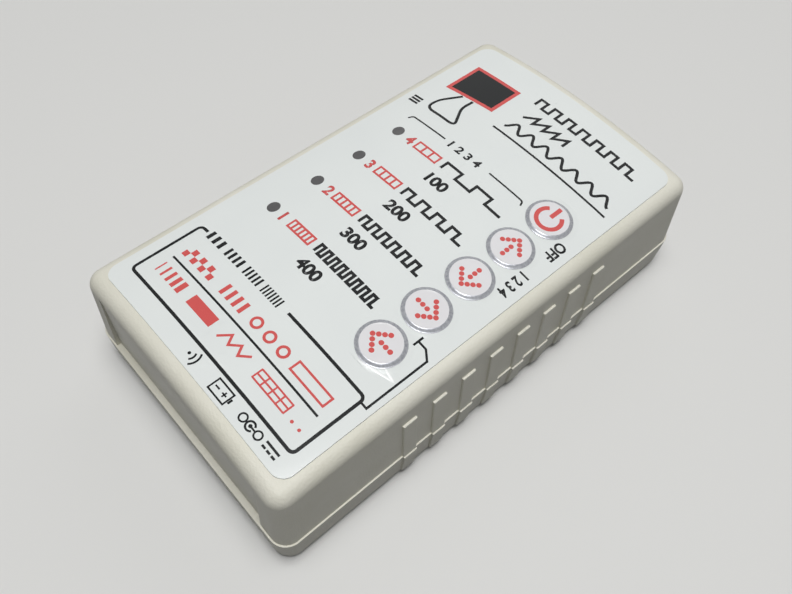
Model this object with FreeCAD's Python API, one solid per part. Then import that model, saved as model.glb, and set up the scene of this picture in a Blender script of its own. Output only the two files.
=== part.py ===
# Hand-held video test-signal generator, millimetres.
# X runs across the case, Y along it from the power end to the video end, Z up from the surface it lies on.
# The case is modelled about its own middle, then moved so that the origin lies under the overall middle.

import FreeCAD
import Part
import math
import os

from FreeCAD import Vector

os.makedirs("parts", exist_ok=True)

# ---- case ----------------------------------------------------------------------------------------
parting_height = 8.1        # where the two shells meet
wall = 2.0
floor_thickness = 1.6
side_draft = 2.6            # degrees
crown_radius = 172.0
corner_radius = 3.0
top_edge_radius = 2.5
rim_step = 0.3              # the lower shell stands out this far at the parting line
lower_taper = 0.5           # how far each side of the lower shell leans in down to its base
base_edge_radius = 2.0
tongue_height = 1.3
tongue_thickness = 0.9
tongue_clearance = 0.1
tongue_root = 1.0           # how far the tongue runs down inside the lower wall
boss_gap = 0.2
tiny = 0.01                 # closer than this counts as the same height

# ---- grip pads -----------------------------------------------------------------------------------
pad_count = 8
pad_pitch = 6.65
pad_width = 2.95
pad_stand = 0.45
pad_top_drop = 7.3          # from the top of the crown down to the pads' ledges
pad_foot_height = 2.2
pad_edge_radius = 0.2

# ---- end panels ----------------------------------------------------------------------------------
panel_recess = 0.8          # how far an end panel's face stands back in the upper shell's end
panel_side_margin = 6.1     # from the side of the case at the parting line
panel_top_drop = 4.0        # from the top of the crown down to the panel's top
panel_plate = 1.0
panel_flange = 1.2
panel_flange_overlap = 2.0
panel_flange_drop = 1.6
panel_gap = 0.1

# ---- label and keys ------------------------------------------------------------------------------
label_side_margin = 3.2     # from the sides of the case at the parting line
label_end_margin = 3.7
label_corner_radius = 2.5
label_thickness = 0.3
key_count = 5
key_pitch = 10.0
key_inset = 11.3            # from the side of the case at the parting line
key_radius = 4.35
key_gap = 0.06
key_rise = 0.35             # top of a key's skin over the label
key_skin = 0.3
key_ring_width = 0.55
key_ring_rise = 0.2
key_nub_radius = 1.5
key_nub_height = 0.58
key_travel = 0.3

# ---- circuit board -------------------------------------------------------------------------------
board_thickness = 1.6
board_side_gap = 1.1
board_end_gap = 0.4
board_screw_inset = 1.7
board_screw_end_inset = 15.6
board_boss_radius = 2.0
board_corner_radius = 1.0
board_notch_gap = 0.5
board_hole_gap = 0.2
board_screw_radius = 0.9
board_screw_bite = 1.5
board_screw_head_radius = 1.7
board_screw_head_height = 1.2
screw_play = 0.05

# ---- switches and lamps --------------------------------------------------------------------------
switch_side = 6.0
switch_body_height = 3.45
switch_corner_radius = 0.4
switch_window_gap = 0.35
switch_window_radius = 0.5
switch_leg_thickness = 0.3
switch_leg_width = 0.7
switch_leg_spacing = 4.5
switch_leg_height = 1.5
stem_radius = 1.75
stem_height = 0.85
stem_depth = 1.4
stem_clearance = 0.06
stem_floor_gap = 0.1
stem_chamfer = 0.15
lamp_count = 4
lamp_inset = 10.8           # from the side of the case at the parting line
lamp_lead = 4.0             # how far each lamp stands behind the key of its row
lamp_radius = 1.45
lamp_flange_radius = 1.7
lamp_flange_height = 0.8
lamp_height = 4.2
lamp_hole_radius = 1.6

# ---- battery and its door ------------------------------------------------------------------------
battery_x = 0.0
battery_width = 26.5
battery_body_length = 46.4
battery_thickness = 17.5
battery_edge_radius = 2.0
battery_panel_gap = 0.3
battery_door_gap = 0.1
terminal_spacing = 12.7
terminal_height = 2.1
stud_radius = 2.85
socket_radius = 4.1
socket_wall = 0.9
snap_length = 25.0
snap_width = 13.0
snap_thickness = 4.4
snap_corner_radius = 4.3
snap_clearance = 0.15
snap_door_margin = 0.8
door_side_margin = 1.75     # past the battery on each side
door_thickness = 1.5
door_recess = 0.15
door_gap = 0.15
door_end_height = 3.6
door_tongue_reach = 1.0
door_tongue_width = 2.1
door_tongue_thickness = 0.8
door_tongue_gap = 0.1
rail_wall = 1.2
rail_height = 3.6
rib_height = 10.0
rib_thickness = 1.25
rib_gap = 0.5
stop_thickness = 1.4
grip_groove_count = 5
grip_groove_pitch = 2.0
grip_groove_width = 0.8
grip_groove_length = 14.0
grip_groove_depth = 0.4
grip_groove_start = 8.0     # from the inner face of the end panel

# ---- case screws ---------------------------------------------------------------------------------
case_screw_inset = 4.9      # from the side of the case at the parting line
case_screw_end_inset = 7.0
case_screw_radius = 1.15
case_screw_length = 13.0
case_screw_head_radius = 2.3
case_screw_head_height = 1.6
case_boss_radius = 2.5
case_post_radius = 3.1
counterbore_gap = 0.15
counterbore_depth = 3.0
screw_hole_gap = 0.25
screw_end_gap = 1.0
cross_width = 0.7
cross_depth = 0.75
cross_reach = 1.45

# ---- power socket --------------------------------------------------------------------------------
power_gap = 1.5             # from the video socket's flange
power_side_margin = 1.7     # to the side of the end panel
power_width = 9.0
power_height = 11.0
power_depth = 14.0
power_axis_drop = 6.5        # from the board down to the socket's axis
power_nose_radius = 3.9
power_nose_gap = 0.12
power_bore_radius = 2.85
power_bore_depth = 9.5
power_pin_radius = 1.0
power_pin_recess = 0.8
power_tab_width = 2.4
power_tab_thickness = 0.8
power_side_tab_setback = 5.0
power_pin_edge = 0.3

# ---- video socket --------------------------------------------------------------------------------
video_inset = 1.0           # from the other side of the end panel to the socket's flange
video_drop = 6.5            # from the board down to the socket's axis
video_flange_width = 30.8
video_flange_height = 12.5
video_flange_thickness = 0.8
video_flange_radius = 1.5
video_collar_width = 16.3
video_collar_height = 7.9
video_collar_wall = 0.4
video_collar_reach = 6.0    # from the flange's front face
video_collar_radius = 2.2
video_slope = 10.0          # degrees, the slant of the D's sides
video_block_width = 24.0
video_block_height = 12.0
video_block_depth = 9.0
video_face_recess = 0.3
video_core_gap = 0.05
contact_rows = 3
contact_columns = 5
contact_rise = 1.98         # from row to row
contact_spacing = 2.29
video_hole_radius = 0.55
video_row_shift = 0.25      # share of a column pitch, one way and the other from row to row
video_contact_radius = 0.42
video_contact_recess = 0.8
video_tail_gap = 1.2
video_tail_pitch = 2.54
video_tail_side = 0.6
video_tail_stand = 0.6
video_tail_hole_radius = 0.48
jack_screw_spacing = 25.0
jack_screw_across = 4.75
jack_screw_length = 4.8
jack_screw_hole_radius = 1.42
jack_screw_hole_depth = 4.0
jack_screw_stud_radius = 1.4
jack_screw_stud_length = 4.0
jack_screw_clearance = 0.2
jack_screw_flange_gap = 0.1
jack_screw_room = 0.6       # clear of the socket's plastic block
jack_screw_cone = 1.6       # how much wider than the hexagon its chamfering cone starts

# ---- parts on the board --------------------------------------------------------------------------
sounder_radius = 6.0
sounder_height = 2.7
sounder_hole_radius = 1.0
sounder_edge = 0.4
sounder_floor = 0.8
sounder_end_margin = 0.8    # from the front edge of the board
chip_side = 10.0
chip_height = 1.9
chip_stand = 0.15
chip_chamfer = 0.5
chip_dot_radius = 0.5
chip_dot_inset = 1.5
chip_dot_depth = 0.15
chip_gap = 15.0             # from the resistors forward to the chip's middle
chip_legs_per_side = 11
chip_leg_pitch = 0.8
chip_leg_width = 0.35
chip_leg_shoulder = 0.5
chip_leg_reach = 1.1
chip_leg_thickness = 0.2
can_edge = 0.5
crystal_length = 10.8
crystal_width = 4.6
crystal_end_radius = 2.25
crystal_height = 3.5
crystal_inset = 9.0          # from the side of the board
crystal_gap = 10.0          # from the chip's middle back to the crystal's
regulator_x = 14.0
regulator_radius = 2.35
regulator_flat = 1.4
regulator_height = 4.7
regulator_leg_length = 3.0
regulator_leg_side = 0.45
regulator_leg_pitch = 1.27
capacitor_radius = 3.15
capacitor_height = 11.0
capacitor_places = (6.0, -5.0)
supply_gap = 8.1            # from the last contact tails forward to the regulator and the capacitors
resistor_count = 9
resistor_pitch = 2.6
resistor_length = 3.2
resistor_width = 1.6
resistor_height = 0.6
resistor_gap = 5.1          # from the last contact tails forward
lead_radius = 0.65
lead_spacing = 5.0
lead_exit_height = 9.0
lead_run = 8.9              # from the snap connector back to where the leads rise
lead_can_gap = 7.87         # from there back to the capacitors
lead_bend_radius = 3.4

# ---- places that follow from the sizes above -----------------------------------------------------
# the two sockets side by side set the width of the end panels, and with it the width of the case
panel_width = video_inset + video_flange_width + power_gap + power_width + power_side_margin
upper_width = panel_width + 2 * panel_side_margin

# the battery, its leads, the capacitors and the video socket, one behind another, set its length
tail_rows = (contact_rows - 1) * video_tail_pitch
socket_row = tail_rows + video_tail_gap + video_block_depth + video_flange_thickness
battery_row = battery_panel_gap + battery_body_length + snap_thickness
inner_row = battery_row + lead_run + lead_can_gap + capacitor_radius + supply_gap + socket_row
panel_inner_y = (panel_flange + inner_row) / 2
panel_face_y = panel_inner_y + panel_plate
upper_length = 2 * (panel_face_y + panel_recess)

lower_length = upper_length + 2 * rim_step
lower_width = upper_width + 2 * rim_step
pad_root = upper_width / 2 - wall / 2
rebate_radius = corner_radius - wall + tongue_thickness + tongue_clearance
cavity_radius = corner_radius - wall / 2

key_x = upper_width / 2 - key_inset
lamp_x = lamp_inset - upper_width / 2
label_width = upper_width - 2 * label_side_margin
label_length = upper_length - 2 * label_end_margin
case_screw_x = upper_width / 2 - case_screw_inset
case_screw_y = upper_length / 2 - case_screw_end_inset
case_pilot_radius = case_screw_radius + screw_play
case_hole_radius = case_screw_radius + screw_hole_gap
counterbore_radius = case_screw_head_radius + counterbore_gap

flange_inner_y = panel_inner_y - panel_flange
power_x = panel_width / 2 - power_side_margin - power_width / 2
video_x = video_inset + video_flange_width / 2 - panel_width / 2
video_face_y = panel_inner_y            # front face of the video socket's flange
video_back_y = video_face_y - video_flange_thickness
video_mouth_y = video_face_y + video_collar_reach - video_face_recess
power_back_y = panel_inner_y - power_depth

door_width = battery_width + 2 * door_side_margin
door_top = door_recess + door_thickness
battery_bottom = door_top + battery_door_gap
battery_top = battery_bottom + battery_thickness
battery_front_y = -flange_inner_y + battery_panel_gap
battery_rear_y = battery_front_y + battery_body_length
snap_rear_y = battery_rear_y + snap_thickness
door_rear_y = snap_rear_y + snap_door_margin
lead_board_y = snap_rear_y + lead_run

board_width = upper_width - 2 * wall - 2 * board_side_gap
board_length = 2 * (flange_inner_y - board_end_gap)
board_screw_x = board_width / 2 - board_screw_inset
board_screw_y = board_length / 2 - board_screw_end_inset
board_bottom = battery_top + battery_door_gap
board_top = board_bottom + board_thickness
power_axis_z = board_bottom - power_axis_drop
video_axis_z = board_bottom - video_drop
last_tail_y = video_back_y - video_block_depth - video_tail_gap - tail_rows
supply_y = last_tail_y - supply_gap
resistor_y = last_tail_y - resistor_gap
chip_y = resistor_y - chip_gap
crystal_x = crystal_inset - board_width / 2
crystal_y = chip_y + crystal_gap
sounder_y = sounder_end_margin + sounder_radius - board_length / 2

# the stack under a key, from the board up to the film, sets the height of the case
switch_top = board_top + switch_body_height
stem_top = switch_top + stem_height
crown_drop_at_key = crown_radius - math.sqrt(crown_radius ** 2 - key_x ** 2)
film_over_crown = label_thickness + key_rise - key_skin
case_height = stem_top + key_nub_height - film_over_crown + crown_drop_at_key
pad_top_height = case_height - pad_top_drop
panel_top_height = case_height - panel_top_drop

rear_reach = video_face_y + video_collar_reach
overall_middle_y = (rear_reach - lower_length / 2) / 2
tall = upper_length                     # reaches past the whole case from its middle, for cuts


def vec(x, y, z):
    return Vector(x, y, z)


def box(x0, x1, y0, y1, z0, z1):
    return Part.makeBox(x1 - x0, y1 - y0, z1 - z0, vec(x0, y0, z0))


def pillar(x, y, z0, z1, radius):
    return Part.makeCylinder(radius, z1 - z0, vec(x, y, z0))


def rod_y(x, z, y0, y1, radius):
    return Part.makeCylinder(radius, y1 - y0, vec(x, y0, z), vec(0, 1, 0))


def rounded_outline(half_x, half_y, radius, z, middle_x=0.0, middle_y=0.0):
    """Closed wire: a rectangle with round corners, level at height z."""
    edges = []
    corners = ((1, 1), (-1, 1), (-1, -1), (1, -1))
    arcs = []
    for index, (sign_x, sign_y) in enumerate(corners):
        centre = vec(middle_x + sign_x * (half_x - radius), middle_y + sign_y * (half_y - radius), z)
        start = math.radians(90 * index)
        points = []
        for turn in (0, math.pi / 4, math.pi / 2):
            points.append(centre + vec(radius * math.cos(start + turn), radius * math.sin(start + turn), 0))
        arcs.append(points)
    for index, points in enumerate(arcs):
        edges.append(Part.Arc(*points).toShape())
        edges.append(Part.makeLine(points[2], arcs[(index + 1) % 4][0]))
    return Part.Wire(edges)


def rounded_block(half_x, half_y, radius, z0, z1, middle_x=0.0, middle_y=0.0):
    wire = rounded_outline(half_x, half_y, radius, z0, middle_x, middle_y)
    return Part.Face(wire).extrude(vec(0, 0, z1 - z0))


def leaning_block(half_x0, half_y0, z0, half_x1, half_y1, z1, radius):
    """A block whose four flat sides lean in or out between two levels, with its upright edges rounded."""
    signs = ((-1, -1), (1, -1), (1, 1), (-1, 1))
    low = [vec(sign_x * half_x0, sign_y * half_y0, z0) for sign_x, sign_y in signs]
    high = [vec(sign_x * half_x1, sign_y * half_y1, z1) for sign_x, sign_y in signs]
    loops = [low[::-1], high]
    for index in range(4):
        after = (index + 1) % 4
        loops.append([low[index], low[after], high[after], high[index]])
    faces = [Part.Face(Part.makePolygon(loop + loop[:1])) for loop in loops]
    block = Part.makeSolid(Part.makeShell(faces))
    upright = edges_where(block, lambda edge: abs(edge.Vertexes[0].Z - edge.Vertexes[1].Z) > tiny)
    return block.makeFillet(radius, upright)


def crown(offset):
    """Everything under the case's crowned top, raised or lowered by an offset."""
    length = 2 * upper_length
    centre = vec(0, -upper_length, case_height - crown_radius)
    barrel = Part.makeCylinder(crown_radius + offset, length, centre, vec(0, 1, 0))
    barrel.rotate(centre, vec(0, 1, 0), 180)     # keeps the barrel's seam off the crown
    return barrel


def crown_height(x):
    return case_height - crown_radius + math.sqrt(crown_radius ** 2 - x ** 2)


def crown_layer(outline, low, high):
    """The part of a vertical prism between two offsets of the crowned top."""
    prism = Part.Face(outline).extrude(vec(0, 0, tall))
    return prism.common(crown(high)).cut(crown(low))


def mirrored_four(maker, x, y):
    """One shape at each corner of a rectangle about the case's middle."""
    return [maker(sign_x * x, sign_y * y) for sign_x in (-1, 1) for sign_y in (-1, 1)]


def join(shapes):
    first = shapes[0]
    if len(shapes) == 1:
        return first
    return first.multiFuse(shapes[1:]).removeSplitter()


def group(shapes):
    return Part.makeCompound(shapes)


def edges_where(shape, test):
    return [edge for edge in shape.Edges if test(edge)]


def end_pair(maker):
    """The same thing at the front end and, turned half round, at the rear end."""
    front = maker()
    rear = front.copy()
    rear.rotate(vec(0, 0, 0), vec(0, 0, 1), 180)
    return [front, rear]


# ---- shells --------------------------------------------------------------------------------------
def upper_envelope(grow, base=parting_height):
    """The drafted walls of the upper shell, moved out by grow and run past the crown."""
    top = case_height + wall
    lean_base = (base - parting_height) * math.tan(math.radians(side_draft))
    lean_top = (top - parting_height) * math.tan(math.radians(side_draft))
    half_x = upper_width / 2 + grow
    half_y = upper_length / 2 + grow
    radius = max(corner_radius + min(grow, 0), corner_radius / 4)
    return leaning_block(half_x - lean_base, half_y - lean_base, base,
                         half_x - lean_top, half_y - lean_top, top, radius)


def lower_envelope(grow):
    half_x = lower_width / 2 + grow
    half_y = lower_length / 2 + grow
    return leaning_block(half_x - lower_taper, half_y - lower_taper, 0.0,
                         half_x, half_y, parting_height, corner_radius + rim_step)


def pad_columns(z0, z1):
    """Boxes that pick the grip pads out of a grown envelope, on both long sides."""
    columns = []
    first = -(pad_count - 1) / 2 * pad_pitch
    for index in range(pad_count):
        middle = first + index * pad_pitch
        for side in (-1, 1):
            inner = side * pad_root
            outer = side * upper_width
            columns.append(box(min(inner, outer), max(inner, outer),
                               middle - pad_width / 2, middle + pad_width / 2, z0, z1))
    return columns


def soften_pad(pad, level):
    """Round a pad's outer upright edges and the edge of its ledge."""
    def outer_edge(edge):
        ends = [vertex.Point for vertex in edge.Vertexes]
        outside = all(abs(point.x) > pad_root + pad_stand / 2 for point in ends)
        upright = abs(ends[0].z - ends[1].z) > pad_width / 2
        on_ledge = all(abs(point.z - level) < tiny for point in ends)
        along = abs(ends[0].y - ends[1].y) > pad_width / 2
        return outside and (upright or (on_ledge and along))

    chosen = edges_where(pad, outer_edge)
    return pad.makeFillet(pad_edge_radius, chosen) if chosen else pad


def make_upper_shell():
    outer = upper_envelope(0).common(crown(0))

    def on_crown_rim(edge):
        ends = [vertex.Point for vertex in edge.Vertexes]
        high = min(point.z for point in ends) > (parting_height + case_height) / 2
        return high and max(abs(point.z - crown_height(point.x)) for point in ends) < tiny

    outer = outer.makeFillet(top_edge_radius, edges_where(outer, on_crown_rim))
    cavity = upper_envelope(-wall).common(crown(-wall))
    shell = outer.cut(cavity)

    # the inner half of the wall stands back so that the lower shell's tongue fits behind the outer half
    rebate_x = upper_width / 2 - wall + tongue_thickness + tongue_clearance
    rebate_y = upper_length / 2 - wall + tongue_thickness + tongue_clearance
    rebate = rounded_block(rebate_x, rebate_y, rebate_radius, parting_height - tongue_root,
                           parting_height + tongue_height + tongue_clearance)
    shell = shell.cut(rebate)

    pads = [soften_pad(upper_envelope(pad_stand).common(column), pad_top_height)
            for column in pad_columns(parting_height, pad_top_height)]
    shell = join([shell] + pads)

    # openings for the two end panels, with a pocket behind each for the panel's flange
    for opening in end_pair(lambda: box(-panel_width / 2 - panel_gap, panel_width / 2 + panel_gap,
                                        -upper_length, -flange_inner_y, 0,
                                        panel_top_height + panel_gap)):
        shell = shell.cut(opening)
    reach_x = panel_width / 2 + panel_flange_overlap + panel_gap
    reach_z = panel_top_height + panel_flange_overlap / 2 + panel_gap
    for pocket in end_pair(lambda: box(-reach_x, reach_x, -panel_inner_y - panel_gap / 2,
                                       -flange_inner_y, 0, reach_z)):
        shell = shell.cut(pocket)

    # bosses hang from the ceiling for the case screws and for the board's screws
    ceiling = upper_envelope(-wall / 2).common(crown(-wall / 2))
    bosses = mirrored_four(lambda x, y: pillar(x, y, parting_height, tall, case_boss_radius),
                           case_screw_x, case_screw_y)
    bosses += mirrored_four(lambda x, y: pillar(x, y, board_top, tall, board_boss_radius),
                            board_screw_x, board_screw_y)
    shell = join([shell] + [boss.common(ceiling) for boss in bosses])

    pilot_top = counterbore_depth + case_screw_length + screw_end_gap
    for hole in mirrored_four(lambda x, y: pillar(x, y, 0, pilot_top, case_pilot_radius),
                              case_screw_x, case_screw_y):
        shell = shell.cut(hole)
    board_pilot_top = board_top + board_screw_bite + screw_play
    for hole in mirrored_four(lambda x, y: pillar(x, y, 0, board_pilot_top, board_screw_radius + screw_play),
                              board_screw_x, board_screw_y):
        shell = shell.cut(hole)

    # square windows let the switches reach the keys, round ones let the lamps shine
    half = switch_side / 2 + switch_window_gap
    for y in key_places():
        shell = shell.cut(rounded_block(half, half, switch_window_radius, board_top, tall, key_x, y))
    for y in lamp_places():
        shell = shell.cut(pillar(lamp_x, y, board_top, tall, lamp_hole_radius))
    return shell


def key_places():
    first = -(key_count - 1) / 2 * key_pitch
    return [first + index * key_pitch for index in range(key_count)]


def lamp_places():
    return [y + lamp_lead for y in key_places()[:lamp_count]]


def rail_profile(side):
    """One side of the battery bay: rail for the door's tongue, with the battery's rib on top."""
    wall_face = door_width / 2 + door_tongue_reach + door_tongue_gap
    rib_face = battery_width / 2 + rib_gap
    slot_top = door_top + door_tongue_thickness + door_tongue_gap
    outline = ((wall_face, floor_thickness / 2), (wall_face + rail_wall, floor_thickness / 2),
               (wall_face + rail_wall, rail_height), (rib_face + rib_thickness, rail_height),
               (rib_face + rib_thickness, rib_height), (rib_face, rib_height),
               (rib_face, slot_top), (wall_face, slot_top))
    points = [vec(battery_x + side * x, -panel_inner_y, z) for x, z in outline]
    face = Part.Face(Part.makePolygon(points + points[:1]))
    return face.extrude(vec(0, panel_inner_y + door_rear_y, 0))


def round_base(block):
    rim = edges_where(block, lambda edge: all(abs(vertex.Z) < tiny for vertex in edge.Vertexes))
    return block.makeFillet(base_edge_radius, rim)


def make_lower_shell():
    outer = round_base(lower_envelope(0))
    cavity = rounded_block(upper_width / 2 - wall, panel_inner_y, cavity_radius, floor_thickness, tall)
    shell = outer.cut(cavity)

    pads = [soften_pad(lower_envelope(pad_stand).common(column), parting_height)
            for column in pad_columns(pad_foot_height, parting_height)]
    shell = join([shell] + pads)

    # tongue round the rim, left out where the end panels stand
    low = parting_height - tongue_root
    high = parting_height + tongue_height
    tongue_x = upper_width / 2 - wall + tongue_thickness
    tongue_y = upper_length / 2 - wall + tongue_thickness
    tongue = rounded_block(tongue_x, tongue_y, rebate_radius - tongue_clearance, low, high)
    tongue = tongue.cut(rounded_block(upper_width / 2 - wall, panel_inner_y, cavity_radius, low, high))
    reach = panel_width / 2 + panel_flange_overlap + 3 * panel_gap
    for gap in end_pair(lambda: box(-reach, reach, -upper_length, -flange_inner_y, low, tall)):
        tongue = tongue.cut(gap)
    for boss in mirrored_four(lambda x, y: pillar(x, y, parting_height, tall, case_boss_radius + boss_gap),
                              case_screw_x, case_screw_y):
        tongue = tongue.cut(boss)
    shell = join([shell, tongue])

    # posts for the case screws
    posts = mirrored_four(lambda x, y: pillar(x, y, floor_thickness / 2, parting_height, case_post_radius),
                          case_screw_x, case_screw_y)
    inside = rounded_block(upper_width / 2 - wall / 2, upper_length / 2 - wall / 2, corner_radius,
                           0.0, parting_height)
    shell = join([shell] + [post.common(inside) for post in posts])

    # battery bay: rails, ribs and the stop behind the snap connector
    bay = [rail_profile(-1), rail_profile(1)]
    stop_reach = battery_width / 2 + rib_gap + rib_thickness
    stop = box(battery_x - stop_reach, battery_x + stop_reach, door_rear_y + door_gap,
               door_rear_y + door_gap + stop_thickness, floor_thickness / 2, rib_height)
    lead_slot = box(battery_x - lead_spacing, battery_x + lead_spacing, door_rear_y, tall,
                    lead_exit_height - 3 * lead_radius, tall)
    bay.append(stop.cut(lead_slot))
    flange_room = box(-reach, reach, -upper_length, -flange_inner_y + 2 * panel_gap,
                      parting_height - panel_flange_drop - panel_gap, tall)
    shell = join([shell] + [piece.cut(flange_room) for piece in bay])

    # opening for the battery door, through the floor and out of the front wall
    half = door_width / 2 + door_gap
    shell = shell.cut(box(battery_x - half, battery_x + half, -upper_length, door_rear_y + door_gap,
                          -wall, floor_thickness))
    end_half = door_width / 2 + door_tongue_reach + door_tongue_gap
    shell = shell.cut(box(battery_x - end_half, battery_x + end_half, -upper_length, -panel_inner_y,
                          -wall, door_end_height + door_gap))

    for hole in mirrored_four(lambda x, y: pillar(x, y, -wall, tall, case_hole_radius),
                              case_screw_x, case_screw_y):
        shell = shell.cut(hole)
    for hole in mirrored_four(lambda x, y: pillar(x, y, -wall, counterbore_depth, counterbore_radius),
                              case_screw_x, case_screw_y):
        shell = shell.cut(hole)
    return shell


# ---- end panels ----------------------------------------------------------------------------------
def make_front_panel():
    """Plain end panel: the face plate and the flange that the shells trap."""
    half = panel_width / 2
    plate = box(-half, half, -panel_face_y, -panel_inner_y, parting_height + panel_gap, panel_top_height)
    reach = half + panel_flange_overlap
    flange = box(-reach, reach, -panel_inner_y + panel_gap, -flange_inner_y,
                 parting_height - panel_flange_drop, panel_top_height + panel_flange_overlap / 2)
    web = box(-half, half, -panel_inner_y, -panel_inner_y + panel_gap,
              parting_height + panel_gap, panel_top_height)
    return join([plate, web, flange])


def make_rear_panel():
    """The same plate turned round, with its holes for the video socket and the power socket."""
    panel = make_front_panel()
    panel.rotate(vec(0, 0, 0), vec(0, 0, 1), 180)
    panel = panel.cut(d_prism(panel_gap * 2, 0, tall))
    half_x = video_flange_width / 2 + panel_gap
    half_z = video_flange_height / 2 + panel_gap
    panel = panel.cut(box(video_x - half_x, video_x + half_x, 0, panel_inner_y,
                          video_axis_z - half_z, video_axis_z + half_z))
    for x in jack_screw_places():
        hole = jack_screw_stud_radius + jack_screw_clearance
        panel = panel.cut(rod_y(x, video_axis_z, 0, tall, hole))
    panel = panel.cut(rod_y(power_x, power_axis_z, 0, tall, power_nose_radius + power_nose_gap))
    pocket = power_width / 2 + panel_gap
    return panel.cut(box(power_x - pocket, power_x + pocket, 0, panel_inner_y,
                         board_bottom - power_height - panel_gap, board_bottom + panel_gap))


# ---- label and keys ------------------------------------------------------------------------------
def make_label():
    outline = rounded_outline(label_width / 2, label_length / 2, label_corner_radius, 0)
    label = crown_layer(outline, 0, label_thickness)
    for y in key_places():
        label = label.cut(pillar(key_x, y, 0, tall, key_radius + key_gap))
    return label


def circle_wire(x, y, radius):
    return Part.Wire(Part.makeCircle(radius, vec(x, y, 0)))


def make_key(y):
    """Embossed key of the label: a thin domed skin, its raised ring, and the nub over the switch."""
    top = label_thickness + key_rise
    skin = crown_layer(circle_wire(key_x, y, key_radius), top - key_skin, top)
    ring = crown_layer(circle_wire(key_x, y, key_radius), top - key_skin, top + key_ring_rise)
    ring = ring.cut(pillar(key_x, y, 0, tall, key_radius - key_ring_width))
    nub = pillar(key_x, y, stem_top, tall, key_nub_radius).common(crown(top - key_skin / 2))
    return join([skin, ring, nub])


# ---- switches and lamps --------------------------------------------------------------------------
def make_switch(y):
    half = switch_side / 2
    body = rounded_block(half, half, switch_corner_radius, board_top, switch_top, key_x, y)
    body = body.cut(pillar(key_x, y, switch_top - stem_depth, tall, stem_radius + stem_clearance))
    half_thickness = switch_leg_thickness / 2
    half_width = switch_leg_width / 2

    def leg(x, leg_y):
        return box(key_x + x - half_thickness, key_x + x + half_thickness,
                   y + leg_y - half_width, y + leg_y + half_width, board_top, board_top + switch_leg_height)

    return join([body] + mirrored_four(leg, half + half_thickness, switch_leg_spacing / 2))


def make_stem(y):
    low = switch_top - stem_depth + key_travel + stem_floor_gap
    stem = pillar(key_x, y, low, stem_top, stem_radius)
    rim = edges_where(stem, lambda edge: abs(edge.CenterOfMass.z - stem_top) < tiny)
    return stem.makeChamfer(stem_chamfer, rim)


def make_lamp(y):
    flange = pillar(lamp_x, y, board_top, board_top + lamp_flange_height, lamp_flange_radius)
    dome_z = board_top + lamp_height - lamp_radius
    body = pillar(lamp_x, y, board_top, dome_z, lamp_radius)
    dome = Part.makeSphere(lamp_radius, vec(lamp_x, y, dome_z))
    return join([flange, body, dome])


# ---- circuit board -------------------------------------------------------------------------------
def make_board():
    board = rounded_block(board_width / 2, board_length / 2, board_corner_radius, board_bottom, board_top)
    for notch in mirrored_four(lambda x, y: pillar(x, y, 0, tall, case_boss_radius + board_notch_gap),
                               case_screw_x, case_screw_y):
        board = board.cut(notch)
    for corner in mirrored_four(lambda x, y: box(min(x, 2 * x), max(x, 2 * x), min(y, 2 * y), max(y, 2 * y),
                                                 0, tall),
                                case_screw_x - case_boss_radius / 2, case_screw_y):
        board = board.cut(corner)
    for hole in mirrored_four(lambda x, y: pillar(x, y, 0, tall, board_screw_radius + board_hole_gap),
                              board_screw_x, board_screw_y):
        board = board.cut(hole)
    for x, z, tail_y in contact_places():
        board = board.cut(pillar(x, tail_y, 0, tall, video_tail_hole_radius))
    return board


def make_board_screws():
    def screw(x, y):
        head = pillar(x, y, board_bottom - board_screw_head_height, board_bottom, board_screw_head_radius)
        shank = pillar(x, y, board_bottom, board_top + board_screw_bite, board_screw_radius)
        return join([head, shank])
    return group(mirrored_four(screw, board_screw_x, board_screw_y))


# ---- battery -------------------------------------------------------------------------------------
def make_battery():
    half = battery_width / 2
    block = box(battery_x - half, battery_x + half, battery_front_y, battery_rear_y,
                battery_bottom, battery_top)
    long_edges = edges_where(block, lambda edge: abs(edge.Vertexes[0].Y - edge.Vertexes[1].Y) > 1)
    return block.makeFillet(battery_edge_radius, long_edges)


def battery_terminal(side, radius, reach, grow=0.0):
    x = battery_x + side * terminal_spacing / 2
    z = battery_bottom + battery_thickness / 2
    return rod_y(x, z, battery_rear_y, battery_rear_y + reach, radius + grow)


def make_terminals():
    stud = battery_terminal(-1, stud_radius, terminal_height)
    socket = battery_terminal(1, socket_radius, terminal_height)
    bore = battery_terminal(1, socket_radius - socket_wall, terminal_height)
    return group([stud, socket.cut(bore)])


def make_snap():
    half_x = snap_length / 2
    z = battery_bottom + battery_thickness / 2
    body = box(battery_x - half_x, battery_x + half_x, battery_rear_y, snap_rear_y,
               z - snap_width / 2, z + snap_width / 2)
    corners = edges_where(body, lambda edge: abs(edge.Vertexes[0].Y - edge.Vertexes[1].Y) > 1)
    body = body.makeFillet(snap_corner_radius, corners)
    depth = terminal_height + snap_clearance
    body = body.cut(battery_terminal(-1, stud_radius, depth, snap_clearance))
    return body.cut(battery_terminal(1, socket_radius, depth, snap_clearance))


def make_lead(side):
    """Battery lead: straight out of the snap connector, one long bend, straight up to the board."""
    x = battery_x + side * lead_spacing / 2
    start = vec(x, snap_rear_y, lead_exit_height)
    turn = vec(x, lead_board_y, lead_exit_height)
    finish = vec(x, lead_board_y, board_bottom)
    before = vec(x, lead_board_y - lead_bend_radius, lead_exit_height)
    after = vec(x, lead_board_y, lead_exit_height + lead_bend_radius)
    middle = turn + vec(0, -1, 1) * (lead_bend_radius * (1 - math.sqrt(0.5)))
    path = Part.Wire([Part.makeLine(start, before), Part.Arc(before, middle, after).toShape(),
                      Part.makeLine(after, finish)])
    section = Part.Wire(Part.makeCircle(lead_radius, start, vec(0, 1, 0)))
    return path.makePipeShell([section], True, True)


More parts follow.
